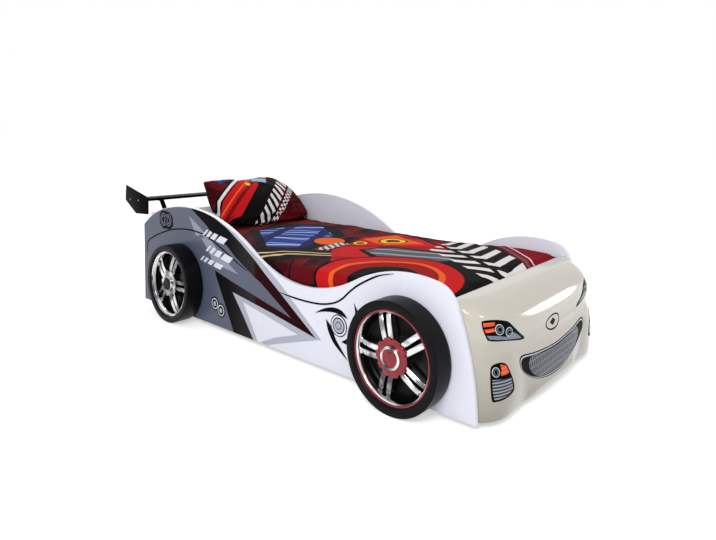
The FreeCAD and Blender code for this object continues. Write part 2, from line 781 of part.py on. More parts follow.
fastener_set("corner_bolts", side_bolts["right"] + side_bolts["left"] + end_bolts["rear"] + end_bolts["front"])
fastener_set("rail_screws", rail_screws["right"] + rail_screws["left"])
fastener_set("wheel_screws", [item for places in wheel_screws.values() for item in places])
fastener_set("bumper_screws", bumper_screws["right"] + bumper_screws["left"])
fastener_set("wing_screws", end_screws["right"] + end_screws["left"] + strut_foot_screws + flange_screws)


# --- bedding --------------------------------------------------------------------------

block = box("mattress_block", "mattress_length", "mattress_width", "mattress_depth",
            at(mattress_rear, -size["mattress_width"] / 2, mattress_bottom))
doc.recompute()
mattress = doc.addObject("Part::Fillet", "mattress")
mattress.Base = block
upright = [i for i, edge in enumerate(block.Shape.Edges, start=1)
           if abs(edge.tangentAt(edge.FirstParameter).z) > 0.9]
mattress.Edges = [(i, size["mattress_corner"], size["mattress_corner"]) for i in upright]
keep("mattress", mattress)


# The duvet's section, in shares of its rise: its crown falls to the brink, where the roll of
# each edge begins, and the roll ends at the shoulder.  The bend is a point on the way, as a
# share of the roll's fall and of its width.
DUVET_BRINK_SHARE = 0.86
DUVET_SHOULDER_SHARE = 0.25
DUVET_BEND_RISE = 0.72
DUVET_BEND_INSET = 0.22
duvet_under = mattress_top + size["clearance"]
duvet_inner = size["mattress_width"] / 2 + size["duvet_side_gap"]
duvet_outer = duvet_inner + size["duvet_edge"]
pillow_back = head_front + size["pillow_gap"]


def duvet_section(x, swell):
    """The duvet across the bed: a crown over the mattress and two edges tucked down beside it."""
    low = mattress_top - size["duvet_drop"]
    rise = size["duvet_crown"] * swell
    shoulder = duvet_under + rise * DUVET_SHOULDER_SHARE
    brink = duvet_under + rise * DUVET_BRINK_SHARE
    bend = shoulder + (brink - shoulder) * DUVET_BEND_RISE
    roll = size["duvet_roll"]
    right = [at(x, duvet_outer, low), at(x, duvet_outer, shoulder),
             at(x, duvet_outer - roll * DUVET_BEND_INSET, bend), at(x, duvet_outer - roll, brink),
             at(x, duvet_inner, duvet_under), at(x, duvet_inner, low)]
    left = [Vector(point.x, -point.y, point.z) for point in right]
    edges = [
        Part.LineSegment(right[0], right[1]),
        Part.Arc(right[1], right[2], right[3]),
        Part.Arc(right[3], at(x, 0, duvet_under + rise), left[3]),
        Part.Arc(left[3], left[2], left[1]),
        Part.LineSegment(left[1], left[0]),
        Part.LineSegment(left[0], left[5]),
        Part.LineSegment(left[5], left[4]),
        Part.LineSegment(left[4], right[4]),
        Part.LineSegment(right[4], right[5]),
        Part.LineSegment(right[5], right[0]),
    ]
    return Part.Wire([edge.toShape() for edge in edges])


# How full the duvet is along the bed, level under the pillow and lowest at the foot.
PILLOW_SEAT = 0.8
DUVET_SWELLS = ((0, 0.5), (0.03, PILLOW_SEAT), (0.1, PILLOW_SEAT), (0.17, PILLOW_SEAT), (0.3, 1.0),
                (0.52, 0.72), (0.8, 0.85), (0.96, 0.6), (1, 0.4))
duvet_rear = mattress_rear + size["duvet_head"]
duvet_run = mattress_front - duvet_rear
duvet = doc.addObject("Part::Feature", "duvet")
duvet.Shape = Part.makeLoft([duvet_section(duvet_rear + duvet_run * share, swell)
                             for share, swell in DUVET_SWELLS], True, False)
keep("duvet", duvet)


# The pillow bears on the duvet's crown a share of its width nearer the bed's middle than its own.
PILLOW_BEARING_SHARE = 1 / 8
bearing = size["pillow_shift"] - size["pillow_width"] * PILLOW_BEARING_SHARE
crown_fall = (1 - DUVET_BRINK_SHARE) * (bearing / (duvet_outer - size["duvet_roll"])) ** 2
pillow_rest = duvet_under + size["duvet_crown"] * PILLOW_SEAT * (1 - crown_fall) + size["clearance"]


def pillow_section(y, fullness, reach_share, rise_share):
    """The pillow from top seam to toe at one place across it, slumped against the headboard."""
    rest = pillow_rest
    lift, heel_x = rest + size["pillow_lift"], pillow_back + size["pillow_heel"]
    toe_x = pillow_back + size["pillow_reach"] * reach_share
    top_z = rest + size["pillow_rise"] * rise_share
    toe, top, heel = at(toe_x, y, lift), at(heel_x, y, top_z), at(heel_x, y, lift)
    seam = (toe + top) * 0.5
    normal = Vector(top.z - toe.z, 0, toe.x - top.x).normalize()
    under = at((toe_x + heel_x) / 2, y, rest)
    behind = at(pillow_back, y, (top.z + heel.z) / 2)
    front = seam + normal * size["pillow_bulge"] * fullness
    heel, under, behind = (point - normal * (point - seam).dot(normal) * (1 - fullness)
                           for point in (heel, under, behind))
    edges = [Part.Arc(toe, front, top), Part.Arc(top, behind, heel), Part.Arc(heel, under, toe)]
    return Part.Wire([edge.toShape() for edge in edges])


# The pillow across its width, from its right end: the place, and the shares of its full bulge,
# reach and rise there.  Its two ends are drawn in to a seam, and the left end's top slumps.
PILLOW_SWELLS = ((-1, 0.15, 0.64, 0.985), (-0.85, 0.6, 0.78, 0.99), (-0.5, 0.93, 0.95, 1.0),
                 (0, 1.0, 1.0, 1.0), (0.5, 0.93, 1.0, 0.97), (0.85, 0.6, 0.92, 0.82), (1, 0.15, 0.8, 0.74))
pillow = doc.addObject("Part::Feature", "pillow")
pillow.Shape = Part.makeLoft([pillow_section(size["pillow_shift"] + size["pillow_width"] / 2 * share, *shares)
                              for share, *shares in PILLOW_SWELLS], True, False)
keep("pillow", pillow)


# --- checks and files -----------------------------------------------------------------

doc.recompute()
for item in doc.Objects:
    if "Invalid" in item.State or "Error" in item.State:
        raise RuntimeError("failed feature: %s %s" % (item.Label, item.State))
for label, item in nodes.items():
    if item.Shape.isNull() or not item.Shape.isValid() or not item.Shape.Solids:
        raise RuntimeError("bad shape: " + label)

os.makedirs("parts", exist_ok=True)
for label, item in nodes.items():
    item.Shape.exportStep(os.path.join("parts", label + ".step"))
print("%d nodes written; the origin is %.3f mm ahead of the panels' rear edge" % (len(nodes), origin))
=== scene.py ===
import math

import bmesh
import bpy
from mathutils import Matrix, Vector, geometry, noise
from mathutils.bvhtree import BVHTree


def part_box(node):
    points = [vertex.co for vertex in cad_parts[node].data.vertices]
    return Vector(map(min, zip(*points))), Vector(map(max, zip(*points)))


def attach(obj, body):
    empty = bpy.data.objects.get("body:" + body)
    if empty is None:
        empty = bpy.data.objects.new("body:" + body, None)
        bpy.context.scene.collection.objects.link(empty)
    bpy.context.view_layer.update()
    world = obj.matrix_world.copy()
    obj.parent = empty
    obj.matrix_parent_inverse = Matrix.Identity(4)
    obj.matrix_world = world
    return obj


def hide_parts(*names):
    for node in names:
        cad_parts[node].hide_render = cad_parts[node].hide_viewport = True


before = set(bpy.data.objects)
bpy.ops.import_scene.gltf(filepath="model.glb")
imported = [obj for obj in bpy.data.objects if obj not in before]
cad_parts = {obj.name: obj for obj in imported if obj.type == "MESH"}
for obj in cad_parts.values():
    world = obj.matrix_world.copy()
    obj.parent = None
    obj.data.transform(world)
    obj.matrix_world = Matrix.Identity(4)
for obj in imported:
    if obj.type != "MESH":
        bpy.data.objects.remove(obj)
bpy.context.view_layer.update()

# Looks of a child's bed shaped like a racing car.  Metres, +X towards the car's nose, +Z up.
# Sizes are written in millimetres as on the drawings, with X counted from the rear edge of
# the side panels; car() turns them into the frame's metres.

MM = 0.001
REAR_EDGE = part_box("side_panel_right")[0].x
SIDES = (("right", -1), ("left", 1))


def car(x, y, z):
    """A point of the frame from drawing millimetres."""
    return Vector((REAR_EDGE + x * MM, y * MM, z * MM))


# --- driving sizes, millimetres -------------------------------------------------------

OUTER_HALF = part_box("side_panel_left")[1].y / MM
INNER_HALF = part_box("headboard")[1].y / MM
BOARD_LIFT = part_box("side_panel_right")[0].z / MM
BOARD_EASE = 1.6
WOOD_EASE = 2.0
STRAP_EASE = 0.5
WING_EASE = 1.0
STICKER = 0.35

AXLES = (("rear", 417), ("front", 1904))
TYRE_RADIUS = 200
TYRE_WIDTH = 95
TYRE_SHOULDER = 6
TYRE_BACK = 18
RIM_RADIUS = 165
RIM_LIP = 13
RIM_TOP = 84
DISC_FACE = 36
SPOKE_PAIRS = 5
SPOKE_HEIGHT = 40
SPOKE_TURN = {"front": 36, "rear": 0}
SPOKE_CHAMFER = 2.6
SPOKE_STATIONS = (  # distance from the axle, half width, underside, top
    (50, 11.0, 42, 75.5),
    (82, 10.8, 42, 75.5),
    (114, 10.4, 40, 72),
    (140, 10.2, 38, 66),
    (158, 10.6, 36.5, 57))
HUB_RADIUS = 66
HUB_PLATE_RADIUS = 69
HUB_SCALLOPS = 10
SCALLOP_BITE = 7
SCALLOP_STEPS = 16
ROUND_STEPS = 144
HUB_STEPS = 96
CAP_LOOKS = {  # finish and slot of the cap's plate and of its middle
    "front": (("red", "cap_red"), ("red", "cap_red")),
    "rear": (("chrome", "cap_chrome"), ("disc", "disc_plastic"))}

BUMPER_TOP = 410
BUMPER_BOTTOM = 26
BUMPER_WALL = 4
BUMPER_SETBACK = 12
BUMPER_BULGE = 84
BUMPER_SQUARENESS = 9
SKIRT_NOTCH, NOTCH_PLACE, NOTCH_WIDTH = 12, 272, 84
PANEL_FRONT_RADIUS = 1090
PANEL_FRONT_CENTRE = 1100
BUMPER_SECTION = (  # share of the height, of the bulge and of the notch
    (1.0, 0.0, 0.0),
    (0.95, 0.92, 0.0),
    (0.6, 1.0, 0.0),
    (0.3, 0.98, 0.45),
    (0.0, 0.75, 1.0))
JOINT_REACH = 16
BONNET_LOW, BONNET_HIGH, BONNET_HALF, BONNET_RISE = 296, 352, 400, 5.0
POD_LOW, POD_HIGH, POD_TOP, POD_RISE = 236, 322, 246, 5.0
CHIN_HEIGHT, CHIN_HALF, CHIN_RISE, CHIN_REACH = 50, 236, 8.0, 17
BADGE_HEIGHT = 256
FILM_GRID = 9.0


# --- finishes -------------------------------------------------------------------------

class Nodes:
    """A node tree under construction."""

    def __init__(self, tree):
        self.tree = tree

    def add(self, kind, inputs=(), out=0, **settings):
        """Adds a node; inputs pairs a socket's name or number with a value or another socket."""
        made = self.tree.nodes.new(kind)
        for label, value in settings.items():
            setattr(made, label, value)
        for label, value in dict(inputs).items():
            if isinstance(value, bpy.types.NodeSocket):
                self.tree.links.new(value, made.inputs[label])
            else:
                made.inputs[label].default_value = value
        return made.outputs[out]

    def node(self, kind, inputs=(), out=0, **settings):
        return self.add("ShaderNode" + kind, inputs, out, **settings)

    def math(self, operation, *values):
        return self.node("Math", enumerate(values), operation=operation)

    def between(self, value, low, high):
        """A value from 0 to 1 spread over low to high."""
        return self.node("MapRange", {"Value": value, "To Min": low, "To Max": high})

    def seen_ray(self):
        """1 on rays from the camera, from metal and through glass, 0 on rays that light the bed."""
        camera, metal, glass = (self.node("LightPath", out="Is %s Ray" % kind)
                                for kind in ("Camera", "Glossy", "Transmission"))
        return self.math("MAXIMUM", self.math("MAXIMUM", camera, metal), glass)


class Finish(Nodes):
    """A node material under construction round one Principled surface."""

    def __init__(self, name, **sockets):
        self.material = bpy.data.materials.new(name)
        self.material.use_nodes = True
        super().__init__(self.material.node_tree)
        self.surface = self.tree.nodes["Principled BSDF"]
        for label, value in sockets.items():
            self.surface.inputs[label.replace("_", " ")].default_value = value

    def place(self):
        return self.node("TexCoord", out="Object")

    def speckle(self, scale, detail=2.0, stretch=None):
        """Noise from 0 to 1 on the piece's own place."""
        place = self.place()
        if stretch:
            place = self.node("Mapping", {"Vector": place, "Scale": stretch})
        return self.node("TexNoise", {"Vector": place, "Scale": scale, "Detail": detail})

    def ramp(self, value, *stops):
        """A colour for each value; stops pair a place with a colour."""
        made = self.tree.nodes.new("ShaderNodeValToRGB")
        self.tree.links.new(value, made.inputs[0])
        band = made.color_ramp
        while len(band.elements) < len(stops):
            band.elements.new(1.0)
        for element, (at, colour) in zip(band.elements, stops):
            element.position = at
            element.color = colour
        return made.outputs[0]

    def drifting(self, scale, detail, *stops):
        """A tone that drifts over the piece between colours."""
        return self.ramp(self.speckle(scale, detail), *stops)

    def wave(self, place, scale, distortion, way):
        """Fine ribs across one axis of a place."""
        return self.node("TexWave", {"Vector": place, "Scale": scale, "Distortion": distortion},
                         bands_direction=way)

    def mixed(self, share, first, second, **how):
        """A colour between two, by share."""
        return self.node("Mix", {0: share, 6: first, 7: second}, 2, data_type="RGBA", **how)

    def multiplied(self, share, first, second):
        return self.mixed(share, first, second, blend_type="MULTIPLY")

    def grain(self, source, detail):
        """A given map as it is, or noise of a given scale."""
        return source if isinstance(source, bpy.types.NodeSocket) else self.speckle(source, detail)

    def finished(self, colour, gloss, skin):
        """The material from its colour, its roughness (map or noise scale, detail, low, high)
        and its fine relief (map or noise scale, detail, depth in metres, strength)."""
        rough = self.between(self.grain(*gloss[:2]), *gloss[2:])
        height, detail, depth, strength = skin
        height = self.grain(height, detail)
        bump = self.node("Bump", {"Height": height, "Distance": depth, "Strength": strength})
        for label, value in (("Base Color", colour), ("Roughness", rough), ("Normal", bump)):
            self.tree.links.new(value, self.surface.inputs[label])
        return self.material


def tint(red, green, blue):
    """A linear colour from 0-255 screen values."""
    shares = (red / 255, green / 255, blue / 255)
    return (*(c / 12.92 if c <= 10 / 255 else ((c + 0.055) / 1.055) ** 2.4 for c in shares), 1.0)


def shaded(colour, share):
    """The same colour, lighter or darker."""
    return tuple(min(1.0, c * share) for c in colour[:3]) + (1.0,)


LACQUER_SKIN = (110.0, 1.0, 0.00005, 0.15)
PRINT_SKIN = (420.0, 1.0, 0.00008, 0.35)
PLATE_SKIN = (160.0, 2.0, 0.00003, 0.25)


def lacquer(name, colour, gloss=0.28, drift=0.02, shine=0.35):
    """A smooth printed or sprayed coat with a faint orange-peel skin."""
    made = Finish(name, Specular_IOR_Level=shine)
    tone = made.drifting(3.0, 3.0, (0.3, shaded(colour, 1 - drift)), (0.7, shaded(colour, 1 + drift)))
    return made.finished(tone, (18.0, 2.0, gloss - 0.02, gloss + 0.02), LACQUER_SKIN)


def moulded(name, colour, gloss, shine=0.3):
    """Moulded plastic with a fine grain and slightly uneven gloss."""
    made = Finish(name, Specular_IOR_Level=shine)
    tone = made.drifting(14.0, 4.0, (0.35, shaded(colour, 0.85)), (0.65, shaded(colour, 1.2)))
    return made.finished(tone, (35.0, 4.0, gloss - 0.05, gloss + 0.08), (900.0, 2.0, 0.00012, 0.5))


def chrome_with_painted_reflections(name, bright, dark, streaks):
    """Bright plating with painted reflections: its colour drifts in soft streaks from bright to dark,
    standing in for darker surroundings mirrored in it.
    """
    made = Finish(name, Metallic=1.0)
    # painted reflection: these colour streaks stand in for dark surroundings mirrored in the plating
    streak = made.node("TexNoise", {"Vector": made.place(), "Scale": streaks, "Detail": 1.0,
                                    "Distortion": 0.7})
    tone = made.ramp(streak, (0.36, dark), (0.46, shaded(bright, 0.35)), (0.53, shaded(bright, 0.75)),
                     (0.68, bright))
    return made.finished(tone, (90.0, 4.0, 0.06, 0.13), PLATE_SKIN)


def zinc_plate(colour):
    """Zinc plating, faintly smudged."""
    made = Finish("zinc_plate", Metallic=1.0)
    tone = made.drifting(25.0, 3.0, (0.35, shaded(colour, 0.93)), (0.65, colour))
    return made.finished(tone, (90.0, 4.0, 0.18, 0.45), PLATE_SKIN)


def sawn(along):
    """Planed pine: rings drawn out along the grain, with a few darker streaks."""
    made = Finish("pine_along_" + along, Specular_IOR_Level=0.35)
    stretch = [22.0, 22.0, 22.0]
    stretch["xyz".index(along)] = 1.1
    wood = made.ramp(made.speckle(1.0, 6.0, stretch), (0.25, tint(196, 152, 98)), (0.45, tint(226, 190, 138)),
                     (0.55, tint(214, 172, 116)), (0.75, tint(232, 200, 150)))
    fine = made.speckle(9.0, 4.0, stretch)
    streak = made.ramp(fine, (0.4, (0.72, 0.72, 0.72, 1)), (0.6, (1, 1, 1, 1)))
    return made.finished(made.multiplied(0.7, wood, streak), (fine, 0.0, 0.5, 0.68), (fine, 0.0, 0.0002, 0.6))


def woven(name, colour, pitch):
    """Plain woven cloth without a print."""
    made = Finish(name, Sheen_Weight=0.25, Sheen_Roughness=0.5, Specular_IOR_Level=0.25)
    tone = made.drifting(9.0, 4.0, (0.3, shaded(colour, 0.9)), (0.7, shaded(colour, 1.06)))
    return made.finished(tone, (30.0, 2.0, 0.75, 0.9), (1 / pitch, 2.0, 0.0004, 0.7))


def quilted_knit():
    """White knit with a fine stitch and a faint grey tone that drifts over it at random."""
    made = Finish("mattress_knit", Sheen_Weight=0.3, Sheen_Roughness=0.5, Specular_IOR_Level=0.2)
    tone = made.drifting(6.0, 4.0, (0.3, tint(214, 217, 222)), (0.7, tint(232, 234, 238)))
    rib = made.wave(made.place(), 160.0, 1.5, "X")
    return made.finished(tone, (30.0, 2.0, 0.78, 0.92), (rib, 0.0, 0.0004, 0.5))


INK = tint(11, 10, 13)
STRIPE_START, STRIPE_END = 480, 1460


def stripe_film():
    """The black stripe that turns wine red towards its tip, with two lighter bands across it."""
    made = Finish("film_stripe", Specular_IOR_Level=0.015)
    along = made.node("SeparateXYZ", {0: made.place()}, out="X")
    share = made.node("MapRange", {"Value": along, "From Min": REAR_EDGE + STRIPE_START * MM,
                                   "From Max": REAR_EDGE + STRIPE_END * MM})
    tone = made.ramp(share, (0.0, INK), (0.36, INK), (0.5, tint(44, 40, 42)), (0.56, tint(50, 42, 45)),
                     (0.58, tint(44, 7, 13)), (0.92, tint(38, 5, 11)), (1.0, tint(20, 6, 9)))
    return made.finished(tone, (18.0, 2.0, 0.25, 0.3), LACQUER_SKIN)


def grille_film():
    """Rows of small upright dark cells between light lines."""
    made = Finish("film_grille", Specular_IOR_Level=0.25)
    place = made.node("SeparateXYZ", {0: made.place()}).node.outputs
    flat = made.node("CombineXYZ", {0: place["Y"], 1: place["Z"]})
    cells = made.node("TexBrick", {"Vector": flat, "Color1": tint(44, 48, 60), "Color2": tint(24, 27, 36),
                                   "Mortar": tint(124, 130, 144), "Scale": 1.0, "Mortar Size": 0.0014,
                                   "Mortar Smooth": 0.1, "Brick Width": 0.0145, "Row Height": 0.024},
                      offset=0.5)
    return made.finished(cells, (60.0, 3.0, 0.2, 0.34), PRINT_SKIN)


def ruled_film(name, dark, light, pitch):
    """Fine level lines, as in a printed lamp glass or vent."""
    made = Finish(name, Specular_IOR_Level=0.25)
    height = made.node("SeparateXYZ", {0: made.place()}, out="Z")
    wave = made.math("FRACT", made.math("DIVIDE", height, pitch))
    tone = made.ramp(wave, (0.0, dark), (0.5, dark), (0.6, light), (0.95, light))
    return made.finished(tone, (60.0, 3.0, 0.18, 0.3), PRINT_SKIN)


def pearl_plastic_with_painted_shade():
    """The bumper's glossy beige, cloudy as pearl lacquer is, with painted shade: its tone darker towards the
    bottom, standing in for less light falling low down.
    """
    made = Finish("bumper_pearl", Coat_Weight=0.65, Coat_Roughness=0.07, Specular_IOR_Level=0.4)
    height = made.node("SeparateXYZ", {0: made.place()}, out="Z")
    # painted shade: the tone grows darker with less height, standing in for less light low on the bumper
    level = made.node("MapRange", {"Value": height, "From Min": 0.03, "From Max": 0.34})
    share = made.math("MULTIPLY_ADD", made.speckle(2.2, 3.0), 0.12, made.math("MULTIPLY", level, 0.9))
    tone = made.ramp(share, (0.0, tint(146, 140, 129)), (0.5, tint(172, 166, 154)),
                     (1.0, tint(194, 188, 176)))
    return made.finished(tone, (50.0, 3.0, 0.14, 0.2), (3.2, 1.0, 0.0012, 0.2))


def red_plastic():
    """Clear red moulding over bright plating."""
    made = Finish("hub_red", Metallic=0.3, Coat_Weight=0.4, Coat_Roughness=0.05, Specular_IOR_Level=0.3)
    tone = made.drifting(40.0, 3.0, (0.3, tint(112, 8, 20)), (0.7, tint(150, 16, 30)))
    return made.finished(tone, (70.0, 3.0, 0.16, 0.26), (160.0, 2.0, 0.00004, 0.3))


FINISHES = {
    "panel": lacquer("panel_white_lacquer", tint(226, 228, 240)),
    "board": lacquer("board_melamine", tint(226, 227, 232), gloss=0.42),
    "slate": lacquer("film_slate", tint(87, 92, 111), drift=0.05, shine=0.2),
    "pale": lacquer("film_pale_grey", tint(174, 178, 192), shine=0.25),
    "shard": lacquer("film_light_slate", tint(146, 151, 168), shine=0.2),
    "ink": lacquer("film_black", INK, shine=0.015),
    "silver": lacquer("film_silver", tint(196, 200, 208)),
    "stripe": stripe_film(),
    "grille": grille_film(),
    "vent": ruled_film("film_vent", tint(34, 37, 44), tint(150, 156, 168), 0.0105),
    "amber": ruled_film("film_amber", tint(226, 74, 30), tint(238, 106, 54), 0.0125),
    "glass": ruled_film("film_lamp_glass", tint(104, 112, 128), tint(128, 136, 152), 0.006),
    "bumper": pearl_plastic_with_painted_shade(),
    "red": red_plastic(),
    "tyre": moulded("tyre_black", tint(12, 11, 14), 0.34, shine=0.08),
    "disc": moulded("disc_black", tint(10, 9, 10), 0.3, shine=0.08),
    # the rim and lip platings carry painted reflections in their colour
    "chrome": chrome_with_painted_reflections("rim_bright", (0.82, 0.82, 0.84, 1), (0.09, 0.08, 0.09, 1), 11.0),
    "lip": chrome_with_painted_reflections("lip_bright", (0.86, 0.86, 0.88, 1), (0.07, 0.06, 0.07, 1), 4.5),
    "zinc": zinc_plate((0.52, 0.53, 0.56, 1)),
    "wing": lacquer("wing_black", tint(6, 6, 7), gloss=0.35, shine=0.012),
    "glide": moulded("glide_grey", tint(92, 92, 96), 0.5),
    "pine_x": sawn("x"),
    "pine_y": sawn("y"),
    "pine_z": sawn("z"),
    "tape": woven("strap_tape", tint(206, 200, 186), 0.0011),
    "piping": woven("piping_cloth", tint(176, 180, 190), 0.0012),
    "ticking": quilted_knit(),
}


# --- printed cloth --------------------------------------------------------------------

class Print(Finish):
    """A printed cloth: flat shapes laid on its cut, in metres of the cut."""

    def __init__(self, name, ground):
        super().__init__(name, Specular_IOR_Level=0.05)
        self.cut = self.node("UVMap", uv_map="cut")
        place = self.node("SeparateXYZ", {0: self.cut}).node.outputs
        self.level = self.node("CombineXYZ", {0: place["X"], 1: place["Y"], 2: 1.0})
        self.ink = ground

    def measure(self, operation, value):
        return self.node("VectorMath", {0: self.level, 1: value}, "Value", operation=operation)

    def line(self, nx, ny, offset):
        """The distance in front of a line, as a socket."""
        return self.measure("DOT_PRODUCT", (nx, ny, -offset))

    def run(self, angle, start=0.0):
        """How far past start a spot lies, along an angle across the cut."""
        turn = math.radians(angle)
        return self.line(math.cos(turn), math.sin(turn), start)

    def polygon(self, *points):
        """Inside a convex outline given anticlockwise."""
        inside = None
        for (x1, y1), (x2, y2) in zip(points, points[1:] + points[:1]):
            length = math.hypot(x2 - x1, y2 - y1)
            nx, ny = (y1 - y2) / length, (x2 - x1) / length
            edge = self.line(nx, ny, nx * x1 + ny * y1)
            inside = edge if inside is None else self.math("MINIMUM", inside, edge)
        return self.math("GREATER_THAN", inside, 0.0)

    def disc(self, x, y, radius):
        return self.math("LESS_THAN", self.measure("DISTANCE", (x, y, 1.0)), radius)

    def ring(self, x, y, radius, width):
        return self.math("COMPARE", self.measure("DISTANCE", (x, y, 1.0)), radius, width / 2)

    def band(self, angle, start, width):
        """Between two parallel lines that cross the cut at an angle."""
        return self.math("COMPARE", self.run(angle), start + width / 2, width / 2)

    def stripes(self, angle, pitch, width):
        """Evenly spaced stripes across the whole cut."""
        return self.math("LESS_THAN", self.math("FLOORED_MODULO", self.run(angle), pitch), width)

    def chequers(self, angle, pitch):
        """Squares over the whole cut."""
        rows, columns = (self.math("FLOOR", self.math("DIVIDE", self.run(way), pitch))
                         for way in (angle, angle + 90))
        return self.math("FLOORED_MODULO", self.math("ADD", rows, columns), 2.0)

    def chevrons(self, angle, pitch, width, slope, centre):
        """Arrow heads in a row that crosses the cut at an angle."""
        fold = self.math("ABSOLUTE", self.run(angle + 90, centre))
        lead = self.math("MULTIPLY_ADD", fold, slope, self.run(angle))
        return self.math("LESS_THAN", self.math("FLOORED_MODULO", lead, pitch), width)

    def lay(self, colour, *shapes):
        """Prints over what is there, where all the shapes overlap."""
        share = shapes[0]
        for shape in shapes[1:]:
            share = self.math("MULTIPLY", share, shape)
        self.ink = self.mixed(share, self.ink, colour)

    def cloth(self):
        """The finished cloth: the print, a little faded and soiled, and its weave."""
        fade = self.drifting(4.0, 4.0, (0.3, (0.9, 0.9, 0.91, 1)), (0.7, (1, 1, 1, 1)))
        weave = self.math("ADD", *(self.wave(self.cut, 320.0, 0.6, way) for way in "XY"))
        return self.finished(self.multiplied(1.0, self.ink, fade), (30.0, 2.0, 0.7, 0.84),
                             (weave, 0.0, 0.00012, 0.35))


WINE = tint(96, 12, 22)
DEEP_WINE = tint(58, 8, 15)
SCARLET = tint(196, 26, 28)
DEEP_SCARLET = tint(150, 18, 22)
ORANGE = tint(230, 96, 34)
BLUE = tint(42, 62, 138)
SKY = tint(120, 150, 205)
YELLOW = tint(236, 196, 52)
BLACK = tint(13, 10, 12)
WHITE = tint(228, 224, 222)
ASH = tint(92, 92, 98)


def duvet_print():
    """Racing bands, chequers and arrow heads; along is from the head, across from the middle."""
    art = Print("duvet_print", WINE)
    lay, polygon, stripes, line = art.lay, art.polygon, art.stripes, art.line
    # darker blocks on the wine ground
    lay(DEEP_WINE, stripes(24, 0.19, 0.105), stripes(-66, 0.34, 0.25))
    lay(BLACK, stripes(24, 0.19, 0.045), stripes(-66, 0.34, 0.17))
    for ring in ((0.62, -0.62, 0.30), (0.98, -0.74, 0.27), (0.52, -0.50, 0.42), (1.02, -0.52, 0.16)):
        lay(BLACK, art.ring(*ring, 0.012))
    # blue field with sky ribbons, and its black surround
    lay(BLACK, polygon((0.44, -0.14), (0.88, -0.42), (1.10, -0.28), (0.98, 0.10), (0.72, 0.25), (0.46, 0.21)))
    blue = polygon((0.50, -0.11), (0.88, -0.36), (1.03, -0.25), (0.92, 0.06), (0.70, 0.19), (0.52, 0.16))
    lay(BLUE, blue)
    lay(SKY, blue, stripes(-58, 0.115, 0.018))
    lay(WHITE, blue, stripes(-50, 0.16, 0.010))
    lay(tint(24, 34, 84), blue, stripes(31, 0.24, 0.06))
    # black sweep with cream and orange edges
    sweep = art.math("LESS_THAN", line(0.97, 0.25, 1.30), 0.0)
    for radius, width, colour in ((1.07, 0.17, BLACK), (1.10, 0.012, tint(226, 204, 160)),
                                  (1.055, 0.02, tint(214, 180, 126))):
        lay(colour, sweep, art.ring(1.62, -1.28, radius, width))
    # black field towards the foot
    field = art.math("GREATER_THAN", line(0.966, 0.259, 1.50), 0.0)
    lay(BLACK, field)
    # scarlet field with an ash lozenge and an orange flash
    scarlet = polygon((1.17, -0.20), (1.45, -0.50), (1.74, -0.50), (1.76, -0.18), (1.52, 0.27), (1.16, 0.34),
                      (1.08, 0.12))
    lay(SCARLET, scarlet)
    lay(DEEP_SCARLET, scarlet, stripes(-62, 0.29, 0.05))
    lay(BLACK, polygon((1.27, -0.13), (1.42, -0.21), (1.70, -0.17), (1.78, -0.02), (1.62, 0.08),
                       (1.34, 0.03)))
    lozenge = polygon((1.30, -0.115), (1.43, -0.18), (1.68, -0.14), (1.74, -0.02), (1.61, 0.05),
                      (1.36, 0.005))
    lay(ASH, lozenge)
    lay(tint(160, 164, 172), lozenge, stripes(-70, 0.085, 0.02))
    lay(ORANGE, polygon((1.10, 0.10), (1.30, 0.05), (1.42, 0.20), (1.16, 0.30)))
    # chequered tag, orange disc and yellow roundels
    lay(BLACK, art.disc(1.01, -0.06, 0.088))
    lay(ORANGE, art.disc(1.01, -0.06, 0.078))
    tag = polygon((1.085, -0.23), (1.145, -0.21), (1.125, -0.03), (1.065, -0.05))
    lay(WHITE, tag)
    lay(BLACK, tag, art.chequers(14, 0.022))
    for along, across, radius in ((1.25, 0.16, 0.075), (1.15, 0.02, 0.042)):
        for share, colour in ((1, BLACK), (0.88, YELLOW), (0.5, BLACK), (0.25, SCARLET)):
            lay(colour, art.disc(along, across, radius * share))
    # hot rings over the near edge of the foot
    for radius, colour in ((0.335, BLACK), (0.32, SCARLET), (0.25, ORANGE), (0.225, DEEP_SCARLET),
                           (0.15, BLACK), (0.06, tint(110, 14, 18))):
        lay(colour, art.disc(1.66, -0.43, radius))
    # white arrow heads on the black field
    lane = art.math("COMPARE", line(0.5, 0.866, 0.985), 0.0, 0.15)
    end = art.math("LESS_THAN", line(0.866, -0.5, 1.86), 0.0)
    lay(WHITE, lane, end, field, art.chevrons(-30, 0.115, 0.05, 0.8, 0.985))
    lay(BLACK, lane, art.math("COMPARE", line(0.5, 0.866, 0.935), 0.0, 0.012))
    # scarlet corner with an ash pinstripe
    corner = art.math("GREATER_THAN", line(0.64, 0.768, 1.385), 0.0)
    lay(tint(130, 14, 26), corner)
    lay(ASH, corner, art.band(50.2, 1.40, 0.014))
    lay(WHITE, corner, art.band(50.2, 1.44, 0.008))
    return art.cloth()


